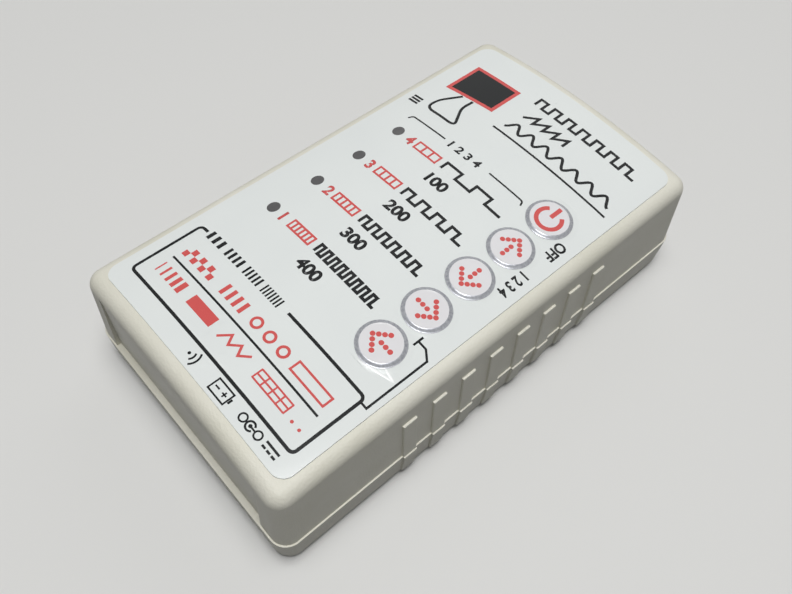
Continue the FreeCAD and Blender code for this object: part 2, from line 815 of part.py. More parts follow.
def make_door():
    """Sliding door: floor plate, end wall flush with the case, tongues that ride under the rails."""
    half = door_width / 2
    end_half = half + door_tongue_reach
    outer = round_base(lower_envelope(0))
    plate = outer.common(box(battery_x - half, battery_x + half, -upper_length, door_rear_y,
                             door_recess, door_top))
    end_wall = outer.common(box(battery_x - end_half, battery_x + end_half, -upper_length,
                                -panel_inner_y - door_gap, door_recess, door_end_height))
    pieces = [plate, end_wall]
    for side in (-1, 1):
        near = battery_x + side * (end_half - door_tongue_width)
        far = battery_x + side * end_half
        pieces.append(box(min(near, far), max(near, far), -panel_inner_y - 2 * door_gap, door_rear_y,
                          door_top, door_top + door_tongue_thickness))
    door = join(pieces)
    first = -panel_inner_y + grip_groove_start
    for index in range(grip_groove_count):
        y = first + index * grip_groove_pitch
        groove = box(battery_x - grip_groove_length / 2, battery_x + grip_groove_length / 2,
                     y - grip_groove_width / 2, y + grip_groove_width / 2,
                     -wall, door_recess + grip_groove_depth)
        door = door.cut(groove)
    return door


# ---- case screws ---------------------------------------------------------------------------------
def make_case_screws():
    """Pan-head screws from below, each with a cross cut in its head."""
    cut_top = counterbore_depth - case_screw_head_height + cross_depth
    half = cross_width / 2

    def screw(x, y):
        head = pillar(x, y, counterbore_depth - case_screw_head_height, counterbore_depth,
                      case_screw_head_radius)
        shank = pillar(x, y, counterbore_depth, counterbore_depth + case_screw_length, case_screw_radius)
        across = box(x - cross_reach, x + cross_reach, y - half, y + half, 0, cut_top)
        along = box(x - half, x + half, y - cross_reach, y + cross_reach, 0, cut_top)
        return join([head, shank]).cut(across).cut(along)

    return group(mirrored_four(screw, case_screw_x, case_screw_y))


# ---- power socket --------------------------------------------------------------------------------
def make_power_socket():
    """Barrel socket under the board: a block with a round nose that fills its hole in the rear panel."""
    half = power_width / 2
    body = box(power_x - half, power_x + half, power_back_y, panel_inner_y,
               board_bottom - power_height, board_bottom)
    nose = rod_y(power_x, power_axis_z, panel_inner_y, panel_face_y, power_nose_radius)
    bore = rod_y(power_x, power_axis_z, panel_face_y - power_bore_depth, tall, power_bore_radius)
    return join([body, nose]).cut(bore)


def make_power_pin():
    tip_y = panel_face_y - power_pin_recess
    pin = rod_y(power_x, power_axis_z, panel_face_y - power_bore_depth, tip_y, power_pin_radius)
    tip = edges_where(pin, lambda edge: abs(edge.CenterOfMass.y - tip_y) < tiny)
    return pin.makeChamfer(power_pin_edge, tip)


def make_power_tabs():
    half = power_tab_width / 2
    rear = box(power_x - half, power_x + half, power_back_y - power_tab_thickness, power_back_y,
               power_axis_z, board_bottom)
    side_x = power_x - power_width / 2
    side_y = power_back_y + power_side_tab_setback
    side = box(side_x - power_tab_thickness, side_x, side_y - half, side_y + half, power_axis_z, board_bottom)
    return group([rear, side])


# ---- video socket --------------------------------------------------------------------------------
def jack_screw_places():
    return [video_x + side * jack_screw_spacing / 2 for side in (-1, 1)]


def d_face(grow, y):
    """D-shaped face about the video socket's axis, wide side up, in a plane square to Y."""
    half_z = video_collar_height / 2 + grow
    lean = half_z * math.tan(math.radians(video_slope))
    wide = video_collar_width / 2 + grow
    narrow = wide - 2 * lean
    corners = ((wide, half_z), (-wide, half_z), (-narrow, -half_z), (narrow, -half_z))
    points = [vec(video_x + x, y, video_axis_z + z) for x, z in corners]
    return Part.Face(Part.makePolygon(points + points[:1]))


def d_prism(grow, y0, y1):
    prism = d_face(grow, y0).extrude(vec(0, y1 - y0, 0))
    long_edges = edges_where(prism, lambda edge: abs(edge.Vertexes[0].Y - edge.Vertexes[1].Y) > (y1 - y0) / 2)
    return prism.makeFillet(video_collar_radius + grow, long_edges)


def contact_places():
    """Place across, height, and the place along the board of each contact's tail."""
    places = []
    for row in range(contact_rows):
        shift = video_row_shift if row % 2 == 0 else -video_row_shift
        z = video_axis_z + ((contact_rows - 1) / 2 - row) * contact_rise
        tail_y = video_back_y - video_block_depth - video_tail_gap - row * video_tail_pitch
        for column in range(contact_columns):
            x = video_x + (column - (contact_columns - 1) / 2 + shift) * contact_spacing
            places.append((x, z, tail_y))
    return places


def make_video_shell():
    half_x = video_flange_width / 2
    half_z = video_flange_height / 2
    flange = box(video_x - half_x, video_x + half_x, video_back_y, video_face_y,
                 video_axis_z - half_z, video_axis_z + half_z)
    corners = edges_where(flange, lambda edge: abs(edge.Vertexes[0].Y - edge.Vertexes[1].Y) > tiny)
    flange = flange.makeFillet(video_flange_radius, corners)
    collar = d_prism(0, video_back_y, video_face_y + video_collar_reach)
    shell = join([flange, collar]).cut(d_prism(-video_collar_wall, video_back_y - wall, tall))
    for x in jack_screw_places():
        hole = jack_screw_stud_radius + jack_screw_flange_gap
        shell = shell.cut(rod_y(x, video_axis_z, 0, tall, hole))
    return shell


def make_video_insulator():
    core = d_prism(-video_collar_wall - video_core_gap, video_back_y - wall, video_mouth_y)
    half_x = video_block_width / 2
    half_z = video_block_height / 2
    block = box(video_x - half_x, video_x + half_x, video_back_y - video_block_depth, video_back_y,
                video_axis_z - half_z, video_axis_z + half_z)
    for x in jack_screw_places():
        block = block.cut(rod_y(x, video_axis_z, 0, tall, jack_screw_stud_radius + jack_screw_room))
    body = join([block, core])
    for x, z, tail_y in contact_places():
        body = body.cut(rod_y(x, z, 0, tall, video_hole_radius))
    return body


def make_video_contacts():
    """Each contact: a round sleeve behind its hole and a square tail that turns up into the board."""
    contacts = []
    half = video_tail_side / 2
    sleeve_y = video_back_y - video_block_depth
    for x, z, tail_y in contact_places():
        sleeve = rod_y(x, z, sleeve_y, video_mouth_y - video_contact_recess, video_contact_radius)
        run = box(x - half, x + half, tail_y - half, sleeve_y, z - half, z + half)
        rise = box(x - half, x + half, tail_y - half, tail_y + half, z - half, board_top + video_tail_stand)
        contacts.append(join([sleeve, run, rise]))
    return group(contacts)


def make_jack_screws():
    """Two hexagonal standoffs that clamp the socket to the panel and take a plug's thumbscrews."""
    corner = jack_screw_across / 2 / math.cos(math.radians(30))
    screws = []
    for middle in jack_screw_places():
        points = []
        for index in range(6):
            angle = math.radians(60 * index + 30)
            points.append(vec(middle + corner * math.cos(angle), panel_face_y,
                              video_axis_z + corner * math.sin(angle)))
        head = Part.Face(Part.makePolygon(points + points[:1])).extrude(vec(0, jack_screw_length, 0))
        cone = Part.makeCone(corner * jack_screw_cone, jack_screw_across / 2, jack_screw_length,
                             vec(middle, panel_face_y, video_axis_z), vec(0, 1, 0))
        stud = rod_y(middle, video_axis_z, panel_face_y - jack_screw_stud_length, panel_face_y,
                     jack_screw_stud_radius)
        hole = rod_y(middle, video_axis_z, panel_face_y + jack_screw_length - jack_screw_hole_depth, tall,
                     jack_screw_hole_radius)
        screws.append(join([head.common(cone), stud]).cut(hole))
    return group(screws)


# ---- parts on the board --------------------------------------------------------------------------
def make_sounder():
    body = pillar(0, sounder_y, board_top, board_top + sounder_height, sounder_radius)
    rim = edges_where(body, lambda edge: abs(edge.CenterOfMass.z - board_top - sounder_height) < tiny)
    body = body.makeChamfer(sounder_edge, rim)
    return body.cut(pillar(0, sounder_y, board_top + sounder_floor, tall, sounder_hole_radius))


def chip_leg(across):
    """One bent leg on the side that faces the rear: shoulder, drop and foot."""
    half = chip_leg_width / 2
    side = chip_side / 2
    shoulder_top = board_top + chip_stand + chip_height / 2 + chip_leg_thickness
    bend = side + chip_leg_shoulder
    shoulder = box(across - half, across + half, side, bend, shoulder_top - chip_leg_thickness, shoulder_top)
    drop = box(across - half, across + half, bend - chip_leg_thickness, bend, board_top, shoulder_top)
    foot = box(across - half, across + half, bend - chip_leg_thickness, side + chip_leg_reach,
               board_top, board_top + chip_leg_thickness)
    return join([shoulder, drop, foot])


def make_microcontroller():
    low = board_top + chip_stand
    half = chip_side / 2
    body = box(-half, half, chip_y - half, chip_y + half, low, low + chip_height)
    upright = edges_where(body, lambda edge: abs(edge.Vertexes[0].Z - edge.Vertexes[1].Z) > chip_height / 2)
    body = body.makeChamfer(chip_chamfer, upright)
    dot = pillar(-half + chip_dot_inset, chip_y - half + chip_dot_inset,
                 low + chip_height - chip_dot_depth, tall, chip_dot_radius)
    first = -(chip_legs_per_side - 1) / 2 * chip_leg_pitch
    legs = []
    for turn in range(4):
        for index in range(chip_legs_per_side):
            leg = chip_leg(first + index * chip_leg_pitch)
            leg.rotate(vec(0, 0, 0), vec(0, 0, 1), 90 * turn)
            leg.translate(vec(0, chip_y, 0))
            legs.append(leg)
    return group([body.cut(dot)] + legs)


def make_crystal():
    low = board_bottom - crystal_height
    can = rounded_block(crystal_width / 2, crystal_length / 2, crystal_end_radius,
                        low, board_bottom, crystal_x, crystal_y)
    rim = edges_where(can, lambda edge: all(abs(vertex.Z - low) < tiny for vertex in edge.Vertexes))
    return can.makeChamfer(can_edge, rim)


def make_regulator():
    top = board_bottom - regulator_leg_length
    body = pillar(regulator_x, supply_y, top - regulator_height, top, regulator_radius)
    body = body.cut(box(regulator_x - regulator_radius, regulator_x + regulator_radius,
                        supply_y + regulator_flat, supply_y + regulator_radius, 0, tall))
    half = regulator_leg_side / 2
    legs = []
    for index in (-1, 0, 1):
        x = regulator_x + index * regulator_leg_pitch
        legs.append(box(x - half, x + half, supply_y - half, supply_y + half, top, board_bottom))
    return join([body] + legs)


def make_capacitors():
    cans = []
    for x in capacitor_places:
        can = pillar(x, supply_y, board_bottom - capacitor_height, board_bottom, capacitor_radius)
        rim = edges_where(can, lambda edge: abs(edge.CenterOfMass.z - board_bottom + capacitor_height) < tiny)
        cans.append(can.makeChamfer(can_edge, rim))
    return group(cans)


def make_resistors():
    first = -(resistor_count - 1) / 2 * resistor_pitch
    chips = []
    for index in range(resistor_count):
        x = first + index * resistor_pitch
        chips.append(box(x - resistor_width / 2, x + resistor_width / 2, resistor_y - resistor_length / 2,
                         resistor_y + resistor_length / 2, board_top, board_top + resistor_height))
    return group(chips)


def save(name, shape):
    placed = shape.copy()
    placed.translate(vec(0, -overall_middle_y, 0))
    placed.exportStep("parts/" + name + ".step")


save("upper_shell", make_upper_shell())
save("lower_shell", make_lower_shell())
save("front_panel", make_front_panel())
save("rear_panel", make_rear_panel())
save("label", make_label())
save("circuit_board", make_board())
save("board_screws", make_board_screws())
save("case_screws", make_case_screws())
save("battery_door", make_door())
save("battery", make_battery())
save("battery_terminals", make_terminals())
save("battery_snap", make_snap())
save("battery_lead_black", make_lead(-1))
save("battery_lead_red", make_lead(1))
save("power_socket", make_power_socket())
save("power_socket_pin", make_power_pin())
save("power_socket_tabs", make_power_tabs())
save("video_socket_shell", make_video_shell())
save("video_socket_insulator", make_video_insulator())
save("video_socket_contacts", make_video_contacts())
save("video_jack_screws", make_jack_screws())
save("sounder", make_sounder())
save("microcontroller", make_microcontroller())
save("crystal", make_crystal())
save("voltage_regulator", make_regulator())
save("filter_capacitors", make_capacitors())
save("output_resistors", make_resistors())
for number, place in enumerate(key_places(), start=1):
    save("key_%d" % number, make_key(place))
    save("switch_%d" % number, make_switch(place))
    save("switch_stem_%d" % number, make_stem(place))
for number, place in enumerate(lamp_places(), start=1):
    save("lamp_%d" % number, make_lamp(place))
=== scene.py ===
"""A hand-held video test-signal generator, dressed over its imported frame."""

import math

import bmesh
import bpy
from mathutils import Matrix, Vector


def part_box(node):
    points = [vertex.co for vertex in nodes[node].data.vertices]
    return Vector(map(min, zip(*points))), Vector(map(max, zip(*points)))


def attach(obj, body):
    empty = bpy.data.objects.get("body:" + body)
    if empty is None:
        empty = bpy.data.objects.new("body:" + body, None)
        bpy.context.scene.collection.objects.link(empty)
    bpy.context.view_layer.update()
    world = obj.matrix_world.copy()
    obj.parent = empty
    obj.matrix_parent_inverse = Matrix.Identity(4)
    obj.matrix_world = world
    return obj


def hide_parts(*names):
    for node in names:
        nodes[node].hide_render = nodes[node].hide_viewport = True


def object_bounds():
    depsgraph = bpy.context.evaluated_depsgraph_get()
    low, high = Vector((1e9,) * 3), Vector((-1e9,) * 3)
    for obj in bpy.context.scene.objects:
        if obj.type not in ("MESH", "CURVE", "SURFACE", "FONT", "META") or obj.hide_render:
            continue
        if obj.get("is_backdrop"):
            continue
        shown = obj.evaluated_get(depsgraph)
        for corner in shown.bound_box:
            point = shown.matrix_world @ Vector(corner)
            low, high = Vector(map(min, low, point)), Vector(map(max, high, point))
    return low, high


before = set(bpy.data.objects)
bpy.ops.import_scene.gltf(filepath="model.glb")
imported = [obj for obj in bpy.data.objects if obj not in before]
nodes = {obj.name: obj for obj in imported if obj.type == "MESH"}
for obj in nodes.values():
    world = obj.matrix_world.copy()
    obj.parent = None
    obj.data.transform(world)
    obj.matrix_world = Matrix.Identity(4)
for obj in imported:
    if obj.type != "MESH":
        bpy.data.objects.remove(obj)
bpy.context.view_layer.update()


# ---- Shells --------------------------------------------------------------------------------------
# The case is two injection-moulded shells of ivory ABS that meet along a parting line low on the
# sides. The tool's faces were spark eroded, so the outside is dull with a fine grain.
mm = 0.001


def colour(code):
    """An sRGB hex code as a linear colour."""
    channels = [int(code[index:index + 2], 16) / 255 for index in (0, 2, 4)]
    return [c / 12.92 if c <= 0.04045 else ((c + 0.055) / 1.055) ** 2.4 for c in channels] + [1.0]


def add_node(tree, kind, links=(), **settings):
    """A node with its settings. Each input gets a value, an output, or a node's first output."""
    node = tree.nodes.new(kind)
    for name, value in settings.items():
        setattr(node, name, value)
    for name, value in links:
        if isinstance(value, bpy.types.Node):
            value = value.outputs[0]
        if isinstance(value, bpy.types.NodeSocket):
            tree.links.new(value, node.inputs[name])
        else:
            node.inputs[name].default_value = value
    return node


def new_material(name):
    """A material, its tree, and the place of each point on the piece."""
    material = bpy.data.materials.new(name)
    material.use_nodes = True
    tree = material.node_tree
    tree.nodes.clear()
    add_node(tree, "ShaderNodeOutputMaterial")
    return material, tree, add_node(tree, "ShaderNodeTexCoord").outputs["Object"]


def show(tree, shader):
    """Puts a shader on the surface, in place of one put there before."""
    tree.links.new(shader.outputs[0], tree.nodes["Material Output"].inputs["Surface"])
    return shader


def finish(tree, place, sockets, tint=None, roughness=None, relief=None):
    """Finishes a material, with a tint, a roughness and a relief that may each follow a noise.

    Each of the three is (noise, low, high), which are two colours, two roughnesses, or a strength
    and a height; a tint may add the noise's values for its colours, or be one plain colour. A noise
    is (width, detail) and perhaps its other sockets.
    """
    if isinstance(tint, str):
        sockets["Base Color"], tint = colour(tint), None
    shader = add_node(tree, "ShaderNodeBsdfPrincipled", sockets.items())
    for socket, pattern in (("Base Color", tint), ("Roughness", roughness), ("Normal", relief)):
        if not pattern:
            continue
        (width, detail, *more), low, high, *ends = pattern
        other = dict(*more)
        stretch = other.pop("stretch", None)
        vector = place
        if stretch:
            vector = add_node(tree, "ShaderNodeMapping", [("Vector", place), ("Scale", stretch)])
        noise = add_node(tree, "ShaderNodeTexNoise", [
            ("Vector", vector), ("Scale", 1 / width), ("Detail", detail), *other.items()])
        if socket == "Base Color":
            node = add_node(tree, "ShaderNodeValToRGB", [("Fac", noise)])
            for element, code, end in zip(node.color_ramp.elements, (low, high), ends or (0, 1)):
                element.color = colour(code)
                element.position = end
        elif socket == "Roughness":
            node = add_node(tree, "ShaderNodeMapRange", [
                ("Value", noise), ("To Min", low), ("To Max", high)])
        else:
            node = add_node(tree, "ShaderNodeBump", [
                ("Height", noise), ("Strength", low), ("Distance", high)])
        tree.links.new(node.outputs[0], shader.inputs[socket])
        if socket == "Normal" and "Coat Weight" in sockets:
            tree.links.new(node.outputs[0], shader.inputs["Coat Normal"])
    return show(tree, shader)


def dress(material, slot, *names):
    """Gives CAD nodes their material."""
    for name in names:
        nodes[name].data.materials.clear()
        nodes[name].data.materials.append(material)


# ABS, moulded: opaque and slightly warm, IOR 1.54, dull. The spark grain is about 0.4 mm between
# peaks, and a broad mottle stands for the way old ivory plastic yellows unevenly.
spark_ivory, tree, place = new_material("moulded_abs_ivory")
spark_grain = (0.4 * mm, 3.0, {"Roughness": 0.6})
finish(tree, place, {"IOR": 1.54}, tint=((14 * mm, 3.0), "D5D3C5", "DCDACE", 0.35, 0.65),
       roughness=(spark_grain, 0.42, 0.58), relief=(spark_grain, 1.0, 0.08 * mm))
dress(spark_ivory, "case_plastic", "upper_shell", "lower_shell", "battery_door")


# ---- End panels ----------------------------------------------------------------------------------
# Each end is closed by a loose plate of the same plastic, held in slots of both shells and set back
# from their rims. The plates come from a smooth tool, so they shine a little more than the shells.
# Their colour is set greyer than the shells', as painted shade for plates set back from the rims.
panel_ivory_with_painted_shade, tree, place = new_material("moulded_abs_panel")
finish(tree, place, {"Roughness": 0.4, "IOR": 1.54},
       # painted shade: these tints are greyer than the shells' D5D3C5 to DCDACE
       tint=((6 * mm, 4.0, {"Distortion": 0.6}), "C6C4B6", "CCCABD", 0.3, 0.7),
       relief=((0.5 * mm, 2.0), 0.2, 0.01 * mm))
dress(panel_ivory_with_painted_shade, "panel_plastic", "front_panel", "rear_panel")


# ---- Film ----------------------------------------------------------------------------------------
# A sheet of clear polyester, printed on its back with a white ground and the legends, is glued over
# the crowned top and covers the switches and lamps.
def box_middle(name):
    low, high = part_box(name)
    return (low + high) / 2


film_thickness = 0.3 * mm
film_low, film_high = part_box("label")
film_middle = box_middle("label")
film_half = (film_high.x - film_low.x) / 2
crown_drop = film_high.z - film_thickness - film_low.z
film_radius = (film_half ** 2 + crown_drop ** 2) / (2 * crown_drop) + film_thickness

key_names = [f"key_{number}" for number in range(1, 6)]
key_centres = [box_middle(name) for name in key_names]
key_spacing = key_centres[1].y - key_centres[0].y
key_low, key_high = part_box(key_names[-1])
key_radius = (key_high.x - key_low.x) / 2
swell_width = 1.2 * mm


def film_height(x, above=0.0):
    """Height of the film's face at x, or of a level above it."""
    return film_high.z - film_radius + math.sqrt((film_radius + above) ** 2 - x ** 2)


# Printed polyester: the white ground lies under 0.2 mm of clear film, so it is glossy on top and
# cool white below. Where a key is embossed the film swells for about a millimetre round it, and the
# glue under the sheet leaves very slight waves some 9 mm long. Beside the first key the sheet has
# lifted and is creased: two low folds meet in a point. Along them the film is painted paler, a
# painted highlight that stands in for the glints of light on the folds.
film_gloss = {"Roughness": 0.6, "IOR": 1.5, "Specular IOR Level": 0.1, "Coat Weight": 0.35,
              "Coat Roughness": 0.14, "Coat IOR": 1.55}
wave_length = 9 * mm
wave_height = 0.06 * mm
fold_half = 0.28 * mm               # half the width of a fold, which runs out to nothing
printed_film, tree, place = new_material("printed_polyester")
from_key = add_node(tree, "ShaderNodeVectorMath", [(0, place), (1, key_centres[0])],
                    operation="SUBTRACT")
split = add_node(tree, "ShaderNodeSeparateXYZ", [("Vector", from_key)])
wrapped = add_node(tree, "ShaderNodeMath", [
    (0, split.outputs["Y"]), (1, key_spacing / 2), (2, -key_spacing / 2)], operation="WRAP")
to_key = add_node(tree, "ShaderNodeCombineXYZ", [("X", split.outputs["X"]), ("Y", wrapped)])
distance = add_node(tree, "ShaderNodeVectorMath", [(0, to_key)], operation="LENGTH")
swell = add_node(tree, "ShaderNodeMapRange", [
    ("Value", distance.outputs["Value"]), ("From Min", key_radius),
    ("From Max", key_radius + swell_width), ("To Min", 1.0), ("To Max", 0.0)],
    interpolation_type="SMOOTHSTEP")
in_row = add_node(tree, "ShaderNodeMath", [
    (0, split.outputs["Y"]), (1, 2 * key_spacing), (2, 2.5 * key_spacing)], operation="COMPARE")
swell_here = add_node(tree, "ShaderNodeMath", [(0, swell), (1, in_row)], operation="MULTIPLY")
waves = add_node(tree, "ShaderNodeTexNoise", [
    ("Vector", place), ("Scale", 1 / wave_length), ("Detail", 1.0)])
folds = []
for x, y, turn, reach in ((19.9, -23.8, 17, 3.9), (21.8, -22.6, -10, 1.6)):
    along_fold = add_node(tree, "ShaderNodeMapping", [
        ("Vector", place), ("Location", film_middle + Vector((x, y, 0)) * mm),
        ("Rotation", (0, 0, math.radians(turn))), ("Scale", (reach * mm, fold_half, 1.0))],
        vector_type="TEXTURE")
    folds.append(add_node(tree, "ShaderNodeTexGradient", [("Vector", along_fold)],
                          gradient_type="SPHERICAL").outputs["Fac"])
crease = add_node(tree, "ShaderNodeMath", list(enumerate(folds)), operation="MAXIMUM")
film_bump = None
for height, strength, depth in ((waves, 0.5, wave_height), (swell_here, 1.0, 0.1 * mm),
                                (crease, 1.0, 0.06 * mm)):
    under = [("Normal", film_bump)] if film_bump else []
    film_bump = add_node(tree, "ShaderNodeBump", [
        ("Height", height), ("Strength", strength), ("Distance", depth), *under])
tint = add_node(tree, "ShaderNodeValToRGB", [("Fac", waves)])
tint.color_ramp.elements[0].color = colour("DEE2E1")
tint.color_ramp.elements[1].color = colour("E2E6E4")
# painted highlight: along the folds the ground is mixed towards near-white FBFCFC, in place of
# glints of light
painted_glint = add_node(tree, "ShaderNodeMapRange", [("Value", crease), ("From Max", 0.4)])
ground = add_node(tree, "ShaderNodeMixRGB", [
    ("Fac", painted_glint), ("Color1", tint), ("Color2", colour("FBFCFC"))])
finish(tree, place, {**film_gloss, "Base Color": ground, "Normal": film_bump,
                     "Coat Normal": film_bump})
dress(printed_film, "printed_overlay", "label")


# ---- Keys ----------------------------------------------------------------------------------------
# Five round keys are embossed in the film: a raised flat face, and round it a sloping ring that
# carries silver ink, with a nub below that presses the switch. Each is turned from its profile and
# bent with the crown.
key_segments = 96
key_foot_radius = key_radius + 0.035 * mm       # closes the joint to the sheet round it
face_rise = 0.32 * mm
ring_width = 0.84 * mm
nub_radius = 1.5 * mm

# Silver screen ink under clear film: a grey metal flake base, IOR left at its default, soft gloss.
# The flake is finer than the eye sees, so it is drawn as the blotches that it leaves, 0.45 mm wide.
silver_ink, tree, place = new_material("silver_ink_under_film")
finish(tree, place, {"Metallic": 0.4, "Roughness": 0.36, "Coat Weight": 0.8, "Coat Roughness": 0.08,
                     "Coat IOR": 1.58}, tint=((0.45 * mm, 3.0), "8C8E95", "B0B2B8", 0.3, 0.7))

# The key faces are the same film over a slightly greyer ground, with shorter waves.
key_film, tree, place = new_material("embossed_polyester")
key_waves = (3 * mm, 1.0)
finish(tree, place, {**film_gloss, "Coat Roughness": 0.12}, tint=(key_waves, "DDDCDE", "E2E1E3"),
       relief=(key_waves, 0.6, 0.05 * mm))

# The profile as (radius, rise over the film): the face, a low bead where the ring begins, the slope
# down through the ring, a hollow at its foot, and the foot below the sheet's own face.
ring_inner = key_radius - ring_width
key_profile = [(1.2 * mm, face_rise), (2.4 * mm, face_rise), (ring_inner - 0.12 * mm, face_rise)]
for share, rise in ((0.0, 1.02), (0.08, 1.10), (0.18, 1.12), (0.3, 1.04), (0.42, 0.88),
                    (0.55, 0.66), (0.68, 0.44), (0.8, 0.25), (0.9, 0.12), (1.0, 0.05)):
    key_profile.append((ring_inner + ring_width * share, face_rise * rise))
underside_rise = 0.03 * mm          # keeps the pressed key clear of the shell below it
key_profile += [(key_foot_radius, underside_rise / 2),
                (key_foot_radius - 0.1 * mm, underside_rise)]
silver_bands = range(5, len(key_profile) - 1)       # the ink runs from the top of the bead outwards


def add_object(name, data):
    thing = bpy.data.objects.new(name, data)
    bpy.context.scene.collection.objects.link(thing)
    return thing


def finished(work, name, material, body):
    """A piece from a worked mesh, with its material and body."""
    mesh = bpy.data.meshes.new(name)
    work.to_mesh(mesh)
    work.free()
    mesh.materials.append(material)
    piece = add_object(name, mesh)
    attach(piece, body)
    return piece


def turned_ring(work, centre, radius, height_at):
    ring = []
    for segment in range(key_segments):
        turn = 2 * math.pi * segment / key_segments
        x = centre.x + radius * math.cos(turn)
        y = centre.y + radius * math.sin(turn)
        ring.append(work.verts.new((x, y, height_at(x))))
    return ring


def close_between(work, outer, inner, silver):
    """Faces between two rings, the outer one listed first."""
    for segment in range(key_segments):
        after = (segment + 1) % key_segments
        face = work.faces.new((outer[segment], outer[after], inner[after], inner[segment]))
        face.material_index = int(silver)


for name, centre in zip(key_names, key_centres):
    nub_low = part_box(name)[0].z
    work = bmesh.new()
    rings = [turned_ring(work, centre, radius, lambda x, rise=rise: film_height(x, rise))
             for radius, rise in [*key_profile, (nub_radius, underside_rise)]]
    rings.append(turned_ring(work, centre, nub_radius, lambda x: nub_low))
    work.faces.new(rings[0])
    for index in range(len(rings) - 1):
        close_between(work, rings[index + 1], rings[index], index in silver_bands)
    work.faces.new(list(reversed(rings[-1])))
    key = finished(work, f"{name}_face", key_film, f"{name}_press")
    key.data.materials.append(silver_ink)
    key.data.shade_smooth()
    key.data.set_sharp_from_angle(angle=math.radians(60))
    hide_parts(name)


# ---- Legends -------------------------------------------------------------------------------------
# The legends are screen printed on the back of the film in black and red. They are drawn flat, in
# millimetres from the film's middle, and laid on the crown as a very thin layer by Geometry Nodes.
ink_thickness = 0.015 * mm
weld_distance = 0.001 * mm
strip = 1.0 * mm            # drawings are cut into strips so wide, to bend with the crown
line = 0.58                 # width of the boxes' lines


def ink(name, code):
    """Screen ink seen through clear film: flat in colour, glossy from the film over it."""
    material, tree, place = new_material(name)
    marks = add_node(tree, "ShaderNodeTexNoise", [("Vector", place), ("Scale", 1 / (0.15 * mm))])
    value = add_node(tree, "ShaderNodeMapRange", [
        ("Value", marks), ("To Min", 0.9), ("To Max", 1.1)])
    shade = add_node(tree, "ShaderNodeHueSaturation", [("Color", colour(code)), ("Value", value)])
    waves = add_node(tree, "ShaderNodeTexNoise", [
        ("Vector", place), ("Scale", 1 / wave_length), ("Detail", 1.0)])
    bump = add_node(tree, "ShaderNodeBump", [
        ("Height", waves), ("Strength", 0.5), ("Distance", wave_height)])
    finish(tree, place, {**film_gloss, "Base Color": shade, "Coat Normal": bump})
    return material


black_ink = ink("black_screen_ink", "101214")
red_ink = ink("red_screen_ink", "CF5654")


def new_tree(name, inputs):
    """A Geometry Nodes tree with named inputs, and its input and output nodes."""
    tree = bpy.data.node_groups.new(name, "GeometryNodeTree")
    tree.interface.new_socket("Geometry", in_out="OUTPUT", socket_type="NodeSocketGeometry")
    for label, kind in (("Geometry", "Geometry"), *inputs):
        tree.interface.new_socket(label, in_out="INPUT", socket_type=f"NodeSocket{kind}")
    return tree, tree.nodes.new("NodeGroupInput"), tree.nodes.new("NodeGroupOutput")


def run_tree(piece, tree, values):
    """Runs a tree on a piece with the inputs named, and leaves the result as its plain mesh."""
    modifier = piece.modifiers.new(tree.name, "NODES")
    modifier.node_group = tree
    for item in tree.interface.items_tree:
        if item.item_type == "SOCKET" and item.in_out == "INPUT" and item.name in values:
            modifier[item.identifier] = values[item.name]
    solved = piece.evaluated_get(bpy.context.evaluated_depsgraph_get())
    mesh = bpy.data.meshes.new_from_object(solved)
    piece.modifiers.remove(modifier)
    piece.data = mesh
    mesh.name = piece.name


# laid_on_film: flat faces are lifted to the curve of the film, thickened, and closed underneath.
laid_on_film, enter, leave = new_tree("laid_on_film", [
    ("Film Radius", "Float"), ("Film Top", "Float"), ("Rise", "Float"), ("Thickness", "Float"),
    ("Material", "Material")])
tree = laid_on_film
where = add_node(tree, "GeometryNodeInputPosition")
split = add_node(tree, "ShaderNodeSeparateXYZ", [("Vector", where)])
level = add_node(tree, "ShaderNodeMath", [
    (0, enter.outputs["Film Radius"]), (1, enter.outputs["Rise"])], operation="ADD")
level_squared = add_node(tree, "ShaderNodeMath", [(0, level), (1, level)], operation="MULTIPLY")
x_squared = add_node(tree, "ShaderNodeMath", [
    (0, split.outputs["X"]), (1, split.outputs["X"])], operation="MULTIPLY")
rest = add_node(tree, "ShaderNodeMath", [(0, level_squared), (1, x_squared)], operation="SUBTRACT")
arch = add_node(tree, "ShaderNodeMath", [(0, rest)], operation="SQRT")
base = add_node(tree, "ShaderNodeMath", [
    (0, enter.outputs["Film Top"]), (1, enter.outputs["Film Radius"])], operation="SUBTRACT")
height = add_node(tree, "ShaderNodeMath", [(0, arch), (1, base)], operation="ADD")
lift = add_node(tree, "ShaderNodeCombineXYZ", [("Z", height)])
lifted = add_node(tree, "GeometryNodeSetPosition", [
    ("Geometry", enter.outputs["Geometry"]), ("Offset", lift)])
up = add_node(tree, "ShaderNodeCombineXYZ", [("Z", 1.0)])
upper = add_node(tree, "GeometryNodeExtrudeMesh", [
    ("Mesh", lifted), ("Offset", up), ("Offset Scale", enter.outputs["Thickness"]),
    ("Individual", False)])
under = add_node(tree, "GeometryNodeFlipFaces", [("Mesh", lifted)])
both = add_node(tree, "GeometryNodeJoinGeometry", [("Geometry", upper), ("Geometry", under)])
closed = add_node(tree, "GeometryNodeMergeByDistance", [
    ("Geometry", both), ("Distance", weld_distance)])
painted = add_node(tree, "GeometryNodeSetMaterial", [
    ("Geometry", closed), ("Material", enter.outputs["Material"])])
tree.links.new(painted.outputs["Geometry"], leave.inputs["Geometry"])

